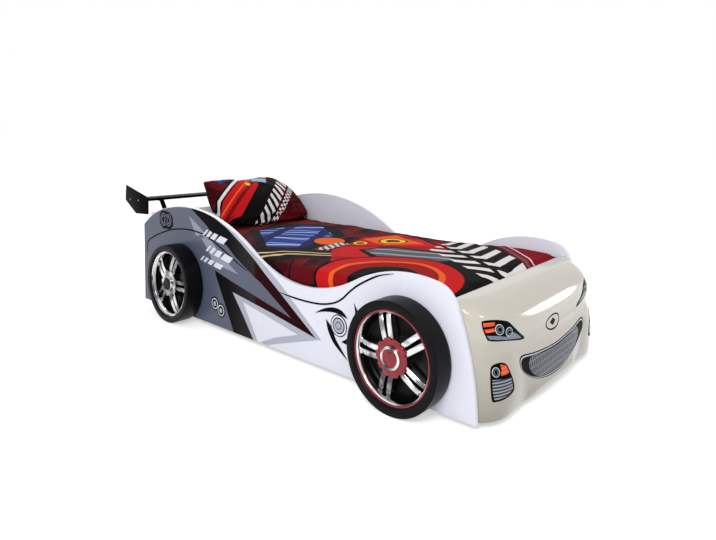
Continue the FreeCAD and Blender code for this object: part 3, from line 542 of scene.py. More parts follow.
def pillow_print():
    """The same bands on the pillow; along is across the bed, across is up the pillow."""
    art = Print("pillow_print", WINE)
    lay, polygon, stripes, line = art.lay, art.polygon, art.stripes, art.line
    lay(DEEP_WINE, stripes(30, 0.13, 0.06), stripes(-60, 0.3, 0.2))
    # black field under the blaze
    lay(BLACK, polygon((-0.26, -0.26), (-0.06, -0.26), (0.17, 0.08), (0.14, 0.17), (-0.04, 0.13),
                       (-0.26, -0.10)))
    lay(BLACK, art.ring(0.20, -0.30, 0.20, 0.010))
    lay(BLACK, art.ring(0.34, -0.10, 0.16, 0.010))
    # scarlet blaze rising from the near side, edged in white
    lay(BLACK, polygon((-0.36, -0.13), (-0.22, -0.15), (0.0, 0.05), (0.02, 0.15), (-0.13, 0.16),
                       (-0.31, 0.02)))
    lay(WHITE, polygon((-0.35, -0.12), (-0.24, -0.13), (-0.03, 0.07), (0.0, 0.14), (-0.13, 0.145),
                       (-0.30, 0.015)))
    lay(BLACK, polygon((-0.35, -0.13), (-0.22, -0.14), (-0.01, 0.05), (0.01, 0.13), (-0.12, 0.13),
                       (-0.29, 0.0)))
    blaze = polygon((-0.34, -0.13), (-0.22, -0.13), (-0.02, 0.055), (0.0, 0.12), (-0.12, 0.12),
                    (-0.28, -0.005))
    lay(SCARLET, blaze)
    lay(tint(122, 14, 20), blaze, art.band(128, 0.085, 0.022))
    lay(ORANGE, blaze, art.band(128, 0.125, 0.010))
    lay(YELLOW, art.disc(-0.085, 0.075, 0.016))
    # blue, pale and yellow fields along the top
    lay(BLUE, polygon((-0.24, 0.12), (-0.12, 0.17), (-0.12, 0.26), (-0.26, 0.26)))
    lay(BLACK, polygon((-0.05, 0.09), (0.06, 0.06), (0.10, 0.13), (-0.02, 0.16)))
    lay(tint(160, 178, 208), polygon((-0.04, 0.10), (0.055, 0.072), (0.085, 0.125), (-0.015, 0.15)))
    lay(YELLOW, polygon((0.0, 0.165), (0.10, 0.135), (0.15, 0.22), (0.02, 0.24)))
    # white arrow heads and a chequered ribbon that climb to the far side
    lane = art.math("COMPARE", line(0.69, -0.724, 0.075), 0.0, 0.036)
    lay(WHITE, lane, art.chevrons(43.6, 0.056, 0.028, 0.7, 0.075))
    ribbon_lane = art.math("COMPARE", line(0.69, -0.724, 0.142), 0.0, 0.017)
    lay(WHITE, ribbon_lane, art.chequers(46.4, 0.017))
    return art.cloth()


FINISHES["duvet"] = duvet_print()
FINISHES["pillow"] = pillow_print()


# --- shapes ---------------------------------------------------------------------------

def as_mesh(shape, name="part"):
    mesh = bpy.data.meshes.new(name)
    shape.to_mesh(mesh)
    shape.free()
    return mesh


def joined(*meshes):
    """Several meshes as one."""
    shape = bmesh.new()
    for mesh in meshes:
        shape.from_mesh(mesh)
        bpy.data.meshes.remove(mesh)
    return as_mesh(shape)


def loft(shape, rows, around=True, closed=False):
    """Faces between rows of corners, round each row, and from the last row to the first when closed."""
    for one, other in zip(rows, rows[1:] + (rows[:1] if closed else [])):
        count = len(one)
        for i in range(count if around else count - 1):
            after = (i + 1) % count
            shape.faces.new((one[i], one[after], other[after], other[i]))


def outwards(shape):
    bmesh.ops.recalc_face_normals(shape, faces=shape.faces)


def eased(shape, edges, ease, steps=2, **how):
    """Takes off a shape's edges; ease in millimetres."""
    bmesh.ops.bevel(shape, geom=edges, offset=ease * MM, segments=steps, profile=0.5, affect="EDGES", **how)


def eased_box(low, high, ease):
    """A bar or board with its edges taken off; corners in metres, ease in millimetres."""
    shape = bmesh.new()
    bmesh.ops.create_cube(shape, size=1)
    for corner in shape.verts:
        corner.co = Vector(low[i] + (corner.co[i] + 0.5) * (high[i] - low[i]) for i in range(3))
    eased(shape, shape.edges[:], ease)
    return shape


def face_loop(node, axis, sign):
    """The outline of a CAD node's flat face on one side, as points in order."""
    shape = bmesh.new()
    shape.from_mesh(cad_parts[node].data)
    bmesh.ops.remove_doubles(shape, verts=shape.verts, dist=1e-5)
    flat = {face for face in shape.faces if face.normal[axis] * sign > 0.999}
    level = max(face.calc_center_median()[axis] * sign for face in flat)
    flat = {face for face in flat if face.calc_center_median()[axis] * sign > level - 1e-4}
    rim = {edge for edge in shape.edges if sum(face in flat for face in edge.link_faces) == 1}
    loops = []
    while rim:
        edge = rim.pop()
        loop = [edge.verts[0], edge.verts[1]]
        while loop[-1] is not loop[0]:
            onward = next(e for e in loop[-1].link_edges if e in rim)
            rim.discard(onward)
            loop.append(onward.other_vert(loop[-1]))
        loops.append([corner.co.copy() for corner in loop[:-1]])
    shape.free()
    return max(loops, key=lambda loop: sum((a - b).length for a, b in zip(loop, loop[1:] + loop[:1])))


def plate(loop, thickness, ease, steps=3):
    """A flat piece from its outline and the way to its other face, both rims eased."""
    shape = bmesh.new()
    face = shape.faces.new([shape.verts.new(point) for point in loop])
    out = bmesh.ops.extrude_face_region(shape, geom=[face])["geom"]
    far = [item for item in out if isinstance(item, bmesh.types.BMVert)]
    bmesh.ops.translate(shape, verts=far, vec=thickness)
    outwards(shape)
    side = thickness.normalized()
    caps = [cap for cap in shape.faces if abs(cap.normal.dot(side)) > 0.99 and len(cap.verts) == len(loop)]
    eased(shape, list({edge for cap in caps for edge in cap.edges}), ease, steps, clamp_overlap=True)
    return shape


def piece(name, shape, finish, body="root", stands_for=(), smooth=35):
    """Links a mesh as a finished piece: its material, body and the CAD nodes it stands for."""
    mesh = as_mesh(shape, name) if isinstance(shape, bmesh.types.BMesh) else shape
    item = bpy.data.objects.new(name, mesh)
    bpy.context.scene.collection.objects.link(item)
    mesh.materials.clear()
    mesh.materials.append(FINISHES[finish])
    mesh.shade_smooth()
    mesh.set_sharp_from_angle(angle=math.radians(smooth))
    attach(item, body)
    if stands_for:
        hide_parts(*stands_for)
    return item


def dress(node, finish):
    """Gives a CAD node that stays as it is a finish."""
    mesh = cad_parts[node].data
    mesh.materials.clear()
    mesh.materials.append(FINISHES[finish])


def bar(node, finish, ease):
    """A box-shaped CAD node remade with eased edges."""
    low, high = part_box(node)
    return piece(node + "_dressed", eased_box(low, high, ease), finish, stands_for=(node,))


def baked(item):
    """An object's mesh with its modifiers made part of it."""
    return bpy.data.meshes.new_from_object(item.evaluated_get(bpy.context.evaluated_depsgraph_get()))


# --- repeats, made with geometry nodes ------------------------------------------------

def spread_tree(name, round_axle):
    """Copies of one piece, spread evenly round the Z axis or in a straight row."""
    nodes = Nodes(bpy.data.node_groups.new(name, "GeometryNodeTree"))
    place = ("Turn", "Float") if round_axle else ("Step", "Vector")
    for label, kind in (("Geometry", "Geometry"), ("Count", "Int"), place, ("Finish", "Material")):
        nodes.tree.interface.new_socket(label, in_out="INPUT", socket_type="NodeSocket" + kind)
    nodes.tree.interface.new_socket("Geometry", in_out="OUTPUT", socket_type="NodeSocketGeometry")
    given = nodes.tree.nodes.new("NodeGroupInput").outputs
    step = (0, 0, 0) if round_axle else given["Step"]
    line = nodes.add("GeometryNodeMeshLine", {"Count": given["Count"], "Offset": step})
    copies = {"Points": line, "Instance": given["Geometry"]}
    if round_axle:
        share = nodes.math("DIVIDE", math.tau, given["Count"])
        turn = nodes.math("MULTIPLY_ADD", nodes.add("GeometryNodeInputIndex"), share, given["Turn"])
        copies["Rotation"] = nodes.node("CombineXYZ", {"Z": turn})
    solid = nodes.add("GeometryNodeRealizeInstances",
                      {"Geometry": nodes.add("GeometryNodeInstanceOnPoints", copies)})
    coated = nodes.add("GeometryNodeSetMaterial", {"Geometry": solid, "Material": given["Finish"]})
    nodes.tree.links.new(coated, nodes.tree.nodes.new("NodeGroupOutput").inputs[0])
    return nodes.tree


TREES = {"ring": spread_tree("spread_round_axle", True), "row": spread_tree("spread_in_row", False)}


def repeated(mesh, tree, **inputs):
    """Runs a tree on a mesh and gives the result as a plain mesh."""
    item = bpy.data.objects.new("pattern", mesh)
    bpy.context.scene.collection.objects.link(item)
    modifier = item.modifiers.new("spread", "NODES")
    modifier.node_group = TREES[tree]
    for socket in TREES[tree].interface.items_tree:
        if socket.in_out == "INPUT" and socket.name in inputs:
            modifier[socket.identifier] = inputs[socket.name]
    item.update_tag()
    bpy.context.view_layer.update()
    result = baked(item)
    bpy.data.objects.remove(item)
    return result


# --- boards ---------------------------------------------------------------------------

def side_panels():
    """The two long panels: white all over, printed film on the outer face."""
    outlines = {}
    for side, sign in SIDES:
        node = "side_panel_" + side
        outlines[side] = face_loop(node, 1, sign)
        thickness = Vector((0, -sign * (OUTER_HALF - INNER_HALF) * MM, 0))
        board = plate(outlines[side], thickness, BOARD_EASE)
        piece(node + "_board", board, "panel", stands_for=(node,))
    return outlines


PANEL_LOOPS = side_panels()


def plain_boards():
    """Head and foot boards, the pine under the mattress, and the fittings that stay as they are."""
    for node in ("headboard", "footboard"):
        bar(node, "board", BOARD_EASE)
    for side, _ in SIDES:
        bar("side_rail_" + side, "pine_x", WOOD_EASE)
        bar("slat_strap_" + side, "tape", STRAP_EASE)
        for end, _ in AXLES:
            bar("corner_block_%s_%s" % (end, side), "pine_z", WOOD_EASE)
    bar("centre_beam", "pine_x", WOOD_EASE)
    for end, _ in AXLES:
        bar("centre_leg_" + end, "pine_z", WOOD_EASE)
    dress("leg_glides", "glide")
    for node in ("beam_brackets", "corner_bolts", "rail_screws", "wheel_screws", "bumper_screws",
                 "wing_screws"):
        dress(node, "zinc")


def slats():
    """The slats: one eased board, spread along the well."""
    names = ["slat_%02d" % (i + 1) for i in range(12)]
    low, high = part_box(names[0])
    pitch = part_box(names[1])[0].x - low.x
    mesh = repeated(as_mesh(eased_box(low, high, WOOD_EASE)), "row", Count=len(names), Step=(pitch, 0, 0),
                    Finish=FINISHES["pine_y"])
    piece("slats", mesh, "pine_y", stands_for=names)


# --- printed films --------------------------------------------------------------------

def curve(points, steps=6, closed=False):
    """A smooth line through points, or a smooth closed outline."""
    if closed:
        spots = points[-1:] + points + points[:2]
    else:
        spots = points[:1] + points + points[-1:]
    line = []
    for a, b, c, d in zip(spots, spots[1:], spots[2:], spots[3:]):
        for i in range(steps):
            t = i / steps
            line.append(tuple(0.5 * (2 * q + (r - p) * t + (2 * p - 5 * q + 4 * r - s) * t * t
                                     + (3 * q - p - 3 * r + s) * t ** 3)
                              for p, q, r, s in zip(a, b, c, d)))
    return line if closed else line + [points[-1]]


def ribbon(points, width, taper=0.15):
    """A drawn line's outline: its middle line widened, fine at both ends."""
    left, right = [], []
    for i, (x, z) in enumerate(points):
        before, after = points[max(i - 1, 0)], points[min(i + 1, len(points) - 1)]
        dx, dz = after[0] - before[0], after[1] - before[1]
        length = math.hypot(dx, dz) or 1.0
        share = min(1.0, (taper + 2.2 * math.sin(math.pi * i / (len(points) - 1))))
        half = width / 2 * share
        left.append((x - dz / length * half, z + dx / length * half))
        right.append((x + dz / length * half, z - dx / length * half))
    return left + right[::-1]


def oval(x, z, half_x, half_z, steps=40):
    return [(x + half_x * math.cos(math.tau * i / steps), z + half_z * math.sin(math.tau * i / steps))
            for i in range(steps)]


def film(name, outline, layer, finish, surface, grid=0.0, smooth=35):
    """A thin printed film: its outline on a surface, filled and given a little thickness."""
    points = []
    for start, end in zip(outline, outline[1:] + outline[:1]):
        parts = max(1, math.ceil(math.dist(start, end) / grid)) if grid else 1
        points += [Vector(start).lerp(Vector(end), i / parts) for i in range(parts)]
    rim = len(points)
    edges = [(i, (i + 1) % rim) for i in range(rim)]
    if grid:
        low_u, high_u = min(p.x for p in points), max(p.x for p in points)
        low_v, high_v = min(p.y for p in points), max(p.y for p in points)
        for i in range(1, int((high_u - low_u) / grid) + 1):
            for j in range(1, int((high_v - low_v) / grid) + 1):
                spot = Vector((low_u + i * grid, low_v + j * grid))
                if min((spot - p).length for p in points[:rim]) > grid * 0.5:
                    points.append(spot)
    flat, _, faces, *_ = geometry.delaunay_2d_cdt(points, edges, [], 1, 1e-4)
    shape = bmesh.new()
    front = [shape.verts.new(surface(p.x, p.y, layer * STICKER)) for p in flat]
    back = [shape.verts.new(surface(p.x, p.y, -STICKER)) for p in flat]
    uses = {}
    for corners in faces:
        shape.faces.new([front[i] for i in corners])
        shape.faces.new([back[i] for i in reversed(corners)])
        for a, b in zip(corners, corners[1:] + corners[:1]):
            uses[a, b] = uses.get((a, b), 0) + 1
    for a, b in uses:
        if (b, a) not in uses:
            shape.faces.new((front[b], front[a], back[a], back[b]))
    outwards(shape)
    return piece(name, shape, finish, smooth=smooth)


def panel_top(low, high):
    """The side panel's top outline between two places, a little below its edge."""
    points = sorted(((p.x - REAR_EDGE) / MM, p.z / MM) for p in PANEL_LOOPS["right"])
    points = [(x, z - EDGE_DROP) for x, z in points if z > 300 and x < 2050]
    ends = []
    for place in (low, high):
        before = max((p for p in points if p[0] <= place), default=points[0])
        after = min((p for p in points if p[0] >= place), default=points[-1])
        gap = max(after[0] - before[0], 1e-6)
        ends.append((place, before[1] + (after[1] - before[1]) * (place - before[0]) / gap))
    return [ends[0]] + [p for p in points if low < p[0] < high] + [ends[1]]


# outlines on the side panels, X from the rear edge and Z from the floor
FOOT = BOARD_LIFT + 2.5
REAR = 2.5
EDGE_DROP = 3.0
FRONT_SWEEP = [(888, 503), (1032, 427), (1128, 375), (1211, 323), (1265, 286), (1472, 135)]
STRIPE_TOP = [(760, 545), (824, 521), (930, 464), (1032, 403), (1119, 343), (1215, 282), (1440, 135)]
FENDER_LINE = [(34, 300), (44, 361), (110, 398), (182, 424), (299, 458), (422, 475), (539, 477), (650, 462),
               (766, 423), (897, 370), (980, 339)]
DOOR_LINE = [(1211, 284), (1262, 280), (1339, 277), (1407, 278), (1470, 283), (1525, 295), (1564, 310),
             (1597, 331), (1627, 358), (1671, 392), (1732, 427), (1785, 451), (1851, 468)]
PANEL_LAYERS = (
    ("slate_area", [(REAR, FOOT)] + panel_top(REAR, 712) + FRONT_SWEEP + [(1116, 66), (1020, FOOT)], "slate"),
    ("pale_edge", [(711, 566)] + FRONT_SWEEP + STRIPE_TOP[::-1], "pale"),
    ("pale_wedge", [(863, 221), (1164, 180), (1440, 135), (1472, 135), (1330, 93), (1150, 37), (1128, FOOT),
                    (1024, FOOT), (947, 125)], "pale"),
    ("white_wedge", [(948, 189), (1330, 124), (1180, 76), (1070, FOOT), (1058, FOOT)], "panel"),
    ("shard_high", [(483, 551), (545, 457), (662, 450), (590, 500)], "shard"),
    ("shard_low", [(577, 464), (637, 414), (707, 336), (913, 312), (777, 379), (697, 441)], "shard"),
    ("stripe_upper", panel_top(503, 680) + STRIPE_TOP
     + [(1290, 186), (1080, 303), (1041, 318), (970, 352), (887, 394), (822, 437), (709, 476), (639, 522),
        (560, 562)], "stripe"),
    ("stripe_lower", [(718, 301), (885, 264), (1290, 184), (1440, 135), (1164, 180), (863, 221)], "stripe"),
    ("stripe_branch", [(718, 301), (863, 221), (947, 125), (1024, FOOT), (873, FOOT), (796, 159), (729, 273)],
     "stripe"),
    ("fender_line", ribbon(curve(FENDER_LINE), 7), "ink"),
    ("door_line", ribbon(curve(DOOR_LINE), 7), "ink"),
    ("rear_lamp", [(206, 556), (282, 552), (318, 528), (322, 482), (296, 460), (218, 458), (184, 482),
                   (182, 530)], "ink"),
    ("high_hook", curve([(1437, 240), (1489, 268), (1543, 283), (1590, 279), (1622, 254)])
     + curve([(1583, 262), (1543, 264), (1489, 256), (1437, 240)]), "ink"),
    ("low_hook", curve([(1503, 228), (1514, 186), (1543, 144), (1580, 116), (1622, 90)])
     + curve([(1585, 128), (1556, 160), (1535, 200), (1503, 228)]), "ink"),
    ("arch_spike", curve([(1655, 322), (1662, 290), (1652, 250), (1632, 212), (1622, 180), (1588, 156)])
     + [(1650, 148), (1706, 160), (1712, 240), (1690, 276)], "ink"))
LAYER_LEVELS = {"slate": 1, "pale": 2, "shard": 2, "panel": 3, "stripe": 4, "ink": 5}

SPEED_ROWS = (((632, 482), (826, 452), 30), ((657, 405), (872, 366), 30), ((602, 348), (794, 322), 24))
SPEED_WIDTHS = (0.07, 0.11, 0.18, 0.32)
SPEED_GAP = 0.08
PIPES = ((716, 136), (768, 112))
PIPE_RINGS = ((34, "ink"), (27, "panel"), (22, "ink"), (12, "pale"))
REAR_EYES = ((226, 508, 34, 37), (278, 508, 30, 35))
REAR_EYE_RINGS = (("ring", 0, "slate"), ("eye", 8, "ink"), ("band", 15, "shard"), ("pupil", 19, "ink"))
SIDE_LAMP = (1574, 217)
SIDE_LAMP_RINGS = ((44, "ink"), (40, "panel"), (33, "ink"), (28, "pale"), (17, "slate"), (12, "pale"))


def speed_marks(start, end, height):
    """A row of slanted bars that get wider along the row."""
    marks = []
    place = 0.0
    lean, half = height * 0.6, height / 2
    for width in SPEED_WIDTHS:
        (x1, z1), (x2, z2) = ([a + (b - a) * share for a, b in zip(start, end)]
                              for share in (place, place + width))
        marks.append([(x1 - lean, z1 - half), (x2 - lean, z2 - half),
                      (x2 + lean, z2 + half), (x1 + lean, z1 + half)])
        place += width + SPEED_GAP
    return marks


def panel_graphics():
    """The printed films of both side panels, from the lowest layer up."""
    for side, sign in SIDES:
        def face(x, z, lift):
            """The panel's outer face as a surface of drawing X and Z."""
            return car(x, sign * (OUTER_HALF + lift), z)

        def printed(name, outline, level, finish):
            film("%s_%s" % (name, side), outline, level, finish, face)

        for name, outline, finish in PANEL_LAYERS:
            printed(name, outline, LAYER_LEVELS[finish], finish)
        for row, ends in enumerate(SPEED_ROWS):
            for number, mark in enumerate(speed_marks(*ends)):
                printed("speed_mark_%d_%d" % (row, number), mark, 6, "panel")
        for number, spot in enumerate(PIPES):
            for level, (half, finish) in enumerate(PIPE_RINGS):
                printed("pipe_%d_%d" % (number, level), oval(*spot, half, half), 5 + level, finish)
        for number, (x, z, half_x, half_z) in enumerate(REAR_EYES):
            for level, (part, less, finish) in enumerate(REAR_EYE_RINGS):
                outline = oval(x, z, half_x - less, half_z - less)
                printed("rear_lamp_%s_%d" % (part, number), outline, 6 + level, finish)
        for level, (half, finish) in enumerate(SIDE_LAMP_RINGS):
            printed("side_lamp_%d" % level, oval(*SIDE_LAMP, half, half), 5 + level, finish)


# --- wheels ---------------------------------------------------------------------------

def rounded(points, steps=6):
    """A half section's corners rounded; each point is (radius, depth, corner radius)."""
    result = []
    for before, (r, d, ease), after in zip(points[-1:] + points[:-1], points, points[1:] + points[:1]):
        if not ease:
            result.append((r, d))
            continue
        corner = Vector((r, d))
        start = corner + (Vector(before[:2]) - corner).normalized() * ease
        end = corner + (Vector(after[:2]) - corner).normalized() * ease
        for i in range(steps + 1):
            t = i / steps
            result.append(tuple(start.lerp(corner, t).lerp(corner.lerp(end, t), t)))
    return result


def turned(section, steps=ROUND_STEPS, capped=False):
    """A ring round the Z axis from its half section; capped, the section's ends lie on the axis."""
    shape = bmesh.new()
    turns = [math.tau * i / steps for i in range(steps)]
    rings = [[shape.verts.new((radius * MM * math.cos(turn), radius * MM * math.sin(turn), depth * MM))
              for turn in turns]
             for radius, depth in (section[1:-1] if capped else section)]
    if capped:
        for end, ring in ((section[0], rings[0]), (section[-1], rings[-1])):
            tip = shape.verts.new((0, 0, end[1] * MM))
            for i in range(steps):
                shape.faces.new((tip, ring[i], ring[(i + 1) % steps]))
    loft(shape, rings, closed=not capped)
    outwards(shape)
    return as_mesh(shape)


def spoke():
    """One arm of the wheel: a bar that narrows outwards and dips from hub to lip, on the X axis."""
    shape = bmesh.new()
    rings = []
    for radius, half, low, high in SPOKE_STATIONS:
        inner, under = half - SPOKE_CHAMFER, high - SPOKE_CHAMFER
        section = [(-half, low), (half, low), (half, under), (inner, high), (-inner, high), (-half, under)]
        rings.append([shape.verts.new((radius * MM, y * MM, z * MM)) for y, z in section])
    loft(shape, rings)
    shape.faces.new(rings[0])
    shape.faces.new(rings[-1])
    outwards(shape)
    eased(shape, [edge for edge in shape.edges if edge.calc_face_angle(0) > math.radians(25)], 0.7)
    return shape


def spoke_pair():
    """Two bars side by side, a little further apart at the hub."""
    pair = []
    for shift, lean in ((15.5, 2.5), (-15.5, -2.5)):
        arm = spoke()
        turn = Matrix.Rotation(math.radians(lean), 3, "Z")
        bmesh.ops.rotate(arm, verts=arm.verts, cent=(0, 0, 0), matrix=turn)
        bmesh.ops.translate(arm, verts=arm.verts, vec=(0, (shift - lean * 1.4) * MM, 0))
        pair.append(as_mesh(arm))
    return joined(*pair)


def scalloped(radius, low, high, ease):
    """A round plate with bites out of its rim."""
    rim = []
    count = HUB_SCALLOPS * SCALLOP_STEPS
    for i in range(count):
        turn = math.tau * i / count
        phase = (i % SCALLOP_STEPS) / SCALLOP_STEPS
        reach = radius - SCALLOP_BITE * max(0.0, 1 - (abs(phase - 0.5) / 0.22) ** 2) ** 0.5
        rim.append(Vector((reach * math.cos(turn), reach * math.sin(turn), low)) * MM)
    return as_mesh(plate(rim, Vector((0, 0, (high - low) * MM)), ease))


def wheels():
    """Four wheel trims: tyre, dark disc, bright lip and arms, and hub cap."""
    bead, top, face, hub = RIM_RADIUS, RIM_TOP, DISC_FACE, DISC_FACE + SPOKE_HEIGHT
    edge, well_top, inner = bead - 0.3, DISC_FACE + 24, RIM_RADIUS - RIM_LIP
    tyre = rounded([(TYRE_RADIUS - TYRE_BACK - 4, 0, 0), (TYRE_RADIUS, 0, TYRE_BACK),
                    (TYRE_RADIUS, TYRE_WIDTH, TYRE_SHOULDER), (bead + 9, TYRE_WIDTH, 4), (bead, top - 1, 2),
                    (bead, 2, 0), (bead + 4, 2, 0), (bead + 4, top - 6, 0), (TYRE_RADIUS - 6, top - 6, 4),
                    (TYRE_RADIUS - 6, TYRE_BACK + 4, 0)])
    disc = [(0, 0), (75, 0), (75, 30), (edge, 30), (edge, face), (0, face)]
    lip = rounded([(edge, well_top, 0), (edge, top - 2, 1.5), (bead - 5, top, 2), (bead - 9, top - 3, 2),
                   (inner, top - 12, 2), (inner, well_top, 0)])
    well = rounded([(edge, face - 0.5, 0), (edge, well_top + 0.5, 0), (inner + 1, well_top + 0.5, 0),
                    (inner - 5, face + 6, 4), (inner - 12, face - 0.5, 0)])
    drum = rounded([(HUB_RADIUS - 8, face, 0), (HUB_RADIUS - 1, face, 0), (HUB_RADIUS - 3, hub - 0.4, 2),
                    (HUB_RADIUS - 10, hub - 0.4, 0)])
    bead_ring = rounded([(bead + 1.5, top - 1, 0), (bead + 1.5, top + 3.5, 1.5), (bead - 5, top + 2.5, 2),
                         (bead - 5, top - 1, 0)], steps=3)
    button = rounded([(40, hub + 5, 0), (40, hub + 14, 3), (35, hub + 15, 2), (30, hub + 11, 3),
                      (21, hub + 11, 2), (19, hub + 15, 2)])
    button = [(0, hub + 5)] + button + [(0, hub + 16)]
    ring = rounded([(32, hub + 9, 1), (42, hub + 5.5, 0), (43, hub + 13, 2.5), (38, hub + 17, 2),
                    (32, hub + 14, 1)])
    for side, sign in SIDES:
        outward = Matrix.Rotation(math.radians(-90 * sign), 4, "X")
        for end, axle in AXLES:
            where = "%s_%s" % (end, side)
            placed = Matrix.Translation(car(axle, sign * OUTER_HALF, TYRE_RADIUS)) @ outward
            cap, middle = CAP_LOOKS[end]
            arms = repeated(spoke_pair(), "ring", Count=SPOKE_PAIRS, Turn=math.radians(SPOKE_TURN[end]),
                            Finish=FINISHES["chrome"])
            parts = (
                ("tyre_%s_moulding", turned(tyre), "tyre", "tyre_plastic", "tyre_", 50),
                ("disc_%s_moulding", joined(turned(disc, capped=True), turned(well)), "disc", "disc_plastic",
                 "wheel_disc_", 35),
                ("arms_%s", joined(turned(drum, HUB_STEPS), arms), "chrome", "rim_chrome", "rim_", 30),
                ("lip_%s", turned(lip), "lip", "rim_chrome", None, 40),
                # on the front wheels the lip's bead takes the cap's red: a painted reflection of red mirrored
                # in the lip
                ("lip_bead_%s", turned(bead_ring), *cap, None, 60),
                ("hub_%s_plate", scalloped(HUB_PLATE_RADIUS, hub, hub + 6, 1.4), *cap, "hub_cap_", 40),
                ("hub_%s_button", turned(button, HUB_STEPS, capped=True), *middle, None, 40),
                ("hub_%s_ring", turned(ring, HUB_STEPS), "chrome", "cap_chrome", None, 50))
            for name, mesh, finish, slot, node, smooth in parts:
                mesh.transform(placed)
                nodes = (node + where,) if node else ()
                piece(name % where, mesh, finish, stands_for=nodes, smooth=smooth)


# --- bumper ---------------------------------------------------------------------------

def bumper_points(y):
    """Five points of the bumper's skin at one place across the car, as (X, height)."""
    spread = 1 - abs(y / INNER_HALF) ** BUMPER_SQUARENESS
    notch = SKIRT_NOTCH * math.exp(-((abs(y) - NOTCH_PLACE) / NOTCH_WIDTH) ** 2)
    points = []
    for share, bulge_share, notch_share in BUMPER_SECTION:
        height = BUMPER_BOTTOM + (BUMPER_TOP - BUMPER_BOTTOM) * share
        edge = PANEL_FRONT_CENTRE + math.sqrt(PANEL_FRONT_RADIUS ** 2 - height ** 2)
        bulge = BUMPER_BULGE * bulge_share * spread - notch * notch_share
        points.append((edge - BUMPER_SETBACK + bulge, height))
    return points


def arc_x(a, b, c, height):
    """X at one height on the circle through three points, or on the line when they lie on one."""
    (ax, ay), (bx, by), (cx, cy) = a, b, c
    d = 2 * (ax * (by - cy) + bx * (cy - ay) + cx * (ay - by))
    if abs(d) < 1e-9:
        return ax + (cx - ax) * (height - ay) / (cy - ay)
    far_a, far_b, far_c = (x * x + y * y for x, y in (a, b, c))
    middle_x = (far_a * (by - cy) + far_b * (cy - ay) + far_c * (ay - by)) / d
    middle_y = (far_a * (cx - bx) + far_b * (ax - cx) + far_c * (bx - ax)) / d
    radius = math.hypot(ax - middle_x, ay - middle_y)
    reach = math.sqrt(max(0.0, radius ** 2 - (height - middle_y) ** 2))
    return middle_x + (reach if bx > middle_x else -reach)


def section_x(points, height):
    """X of the two arcs of one section at a height."""
    return arc_x(*(points[:3] if height > points[2][1] else points[2:]), height)


def skin_x(y, height):
    """X of the bumper's skin at a place across the car and a height; the arcs' joint is softened."""
    y = max(-INNER_HALF, min(INNER_HALF, y))
    points = bumper_points(y)
    height = max(points[4][1], min(points[0][1], height))
    x = section_x(points, height)
    near = math.exp(-((height - points[2][1]) / JOINT_REACH) ** 2)
    if near > 0.01:
        around = (section_x(points, height - JOINT_REACH) + section_x(points, height + JOINT_REACH)) / 2
        x += (around - x) * near * 0.5
    return x + relief(y, height)


def step(value, low, high):
    """A smooth step from 0 to 1 between two values."""
    share = max(0.0, min(1.0, (value - low) / (high - low)))
    return share * share * (3 - 2 * share)


def relief(y, height):
    """The shallow forms on the bumper's face: bonnet edge, fog lamp corners and chin."""
    side = max(0.0, 1 - (abs(y) / INNER_HALF) ** 12)
    rim = BONNET_LOW + (BONNET_HIGH - BONNET_LOW) * min(1.0, abs(y) / BONNET_HALF) ** 1.6
    bonnet = BONNET_RISE * step(height, rim - 10, rim + 10) * step(BUMPER_TOP - height, 0, 60)
    pod_edge = POD_LOW + (POD_HIGH - POD_LOW) * (height - BUMPER_BOTTOM) / (POD_TOP - BUMPER_BOTTOM)
    pod = POD_RISE * step(abs(y), pod_edge - 24, pod_edge + 50) * step(POD_TOP - height, -20, 50)
    chin = CHIN_RISE * math.exp(-((height - CHIN_HEIGHT) / CHIN_REACH) ** 2) * step(CHIN_HALF - abs(y), 0, 70)
    return (bonnet + pod + chin) * side


def bumper_face(y, height, lift):
    """The bumper's skin as a surface of Y and height."""
    reach = 2.0
    slope_y = (skin_x(y + reach, height) - skin_x(y - reach, height)) / (2 * reach)
    slope_z = (skin_x(y, height + reach) - skin_x(y, height - reach)) / (2 * reach)
    normal = Vector((1, -slope_y, -slope_z)).normalized()
    return car(skin_x(y, height), y, height) + normal * lift * MM


def bumper():
    """The bumper's shell: flat top, bulged face, side walls and an open back."""
    columns, rows, top_rows, side_rows = 150, 54, 8, 10
    back, wall_back = (corner.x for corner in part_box("footboard"))
    shape = bmesh.new()
    grid = []
    for i in range(columns + 1):
        y = math.sin(math.pi / 2 * (2 * i / columns - 1)) * INNER_HALF
        lead = car(skin_x(y, BUMPER_TOP), y, BUMPER_TOP)
        column = [Vector((back + (lead.x - back) * k / top_rows, lead.y, lead.z)) for k in range(top_rows)]
        for k in range(rows + 1):
            height = BUMPER_TOP + (BUMPER_BOTTOM - BUMPER_TOP) * (k / rows) ** 1.35
            column.append(car(skin_x(y, height), y, height))
        grid.append([shape.verts.new(point) for point in column])
    loft(shape, grid, around=False)
    for column, flip in ((grid[0], -1), (grid[-1], 1)):
        walls = [column[top_rows:]]
        for k in range(1, side_rows + 1):
            share = k / side_rows
            walls.append([shape.verts.new((p.co.x + (wall_back - p.co.x) * share, p.co.y, p.co.z))
                          for p in walls[0]])
        loft(shape, walls[::flip], around=False)
    bmesh.ops.remove_doubles(shape, verts=shape.verts, dist=0.02 * MM)
    outwards(shape)
    front = max(shape.faces, key=lambda face: face.calc_center_median().x)
    if front.normal.x < 0:
        bmesh.ops.reverse_faces(shape, faces=shape.faces)
    item = piece("bumper_shell", shape, "bumper", stands_for=("front_bumper",), smooth=60)
    wall = item.modifiers.new("wall", "SOLIDIFY")
    wall.thickness = BUMPER_WALL * MM
    wall.offset = -1
    ease = item.modifiers.new("ease", "BEVEL")
    ease.width = 1.2 * MM
    ease.segments = 2
    ease.limit_method = "ANGLE"
    ease.angle_limit = math.radians(50)


def mirrored(outline):
    return [(-y, z) for y, z in outline]


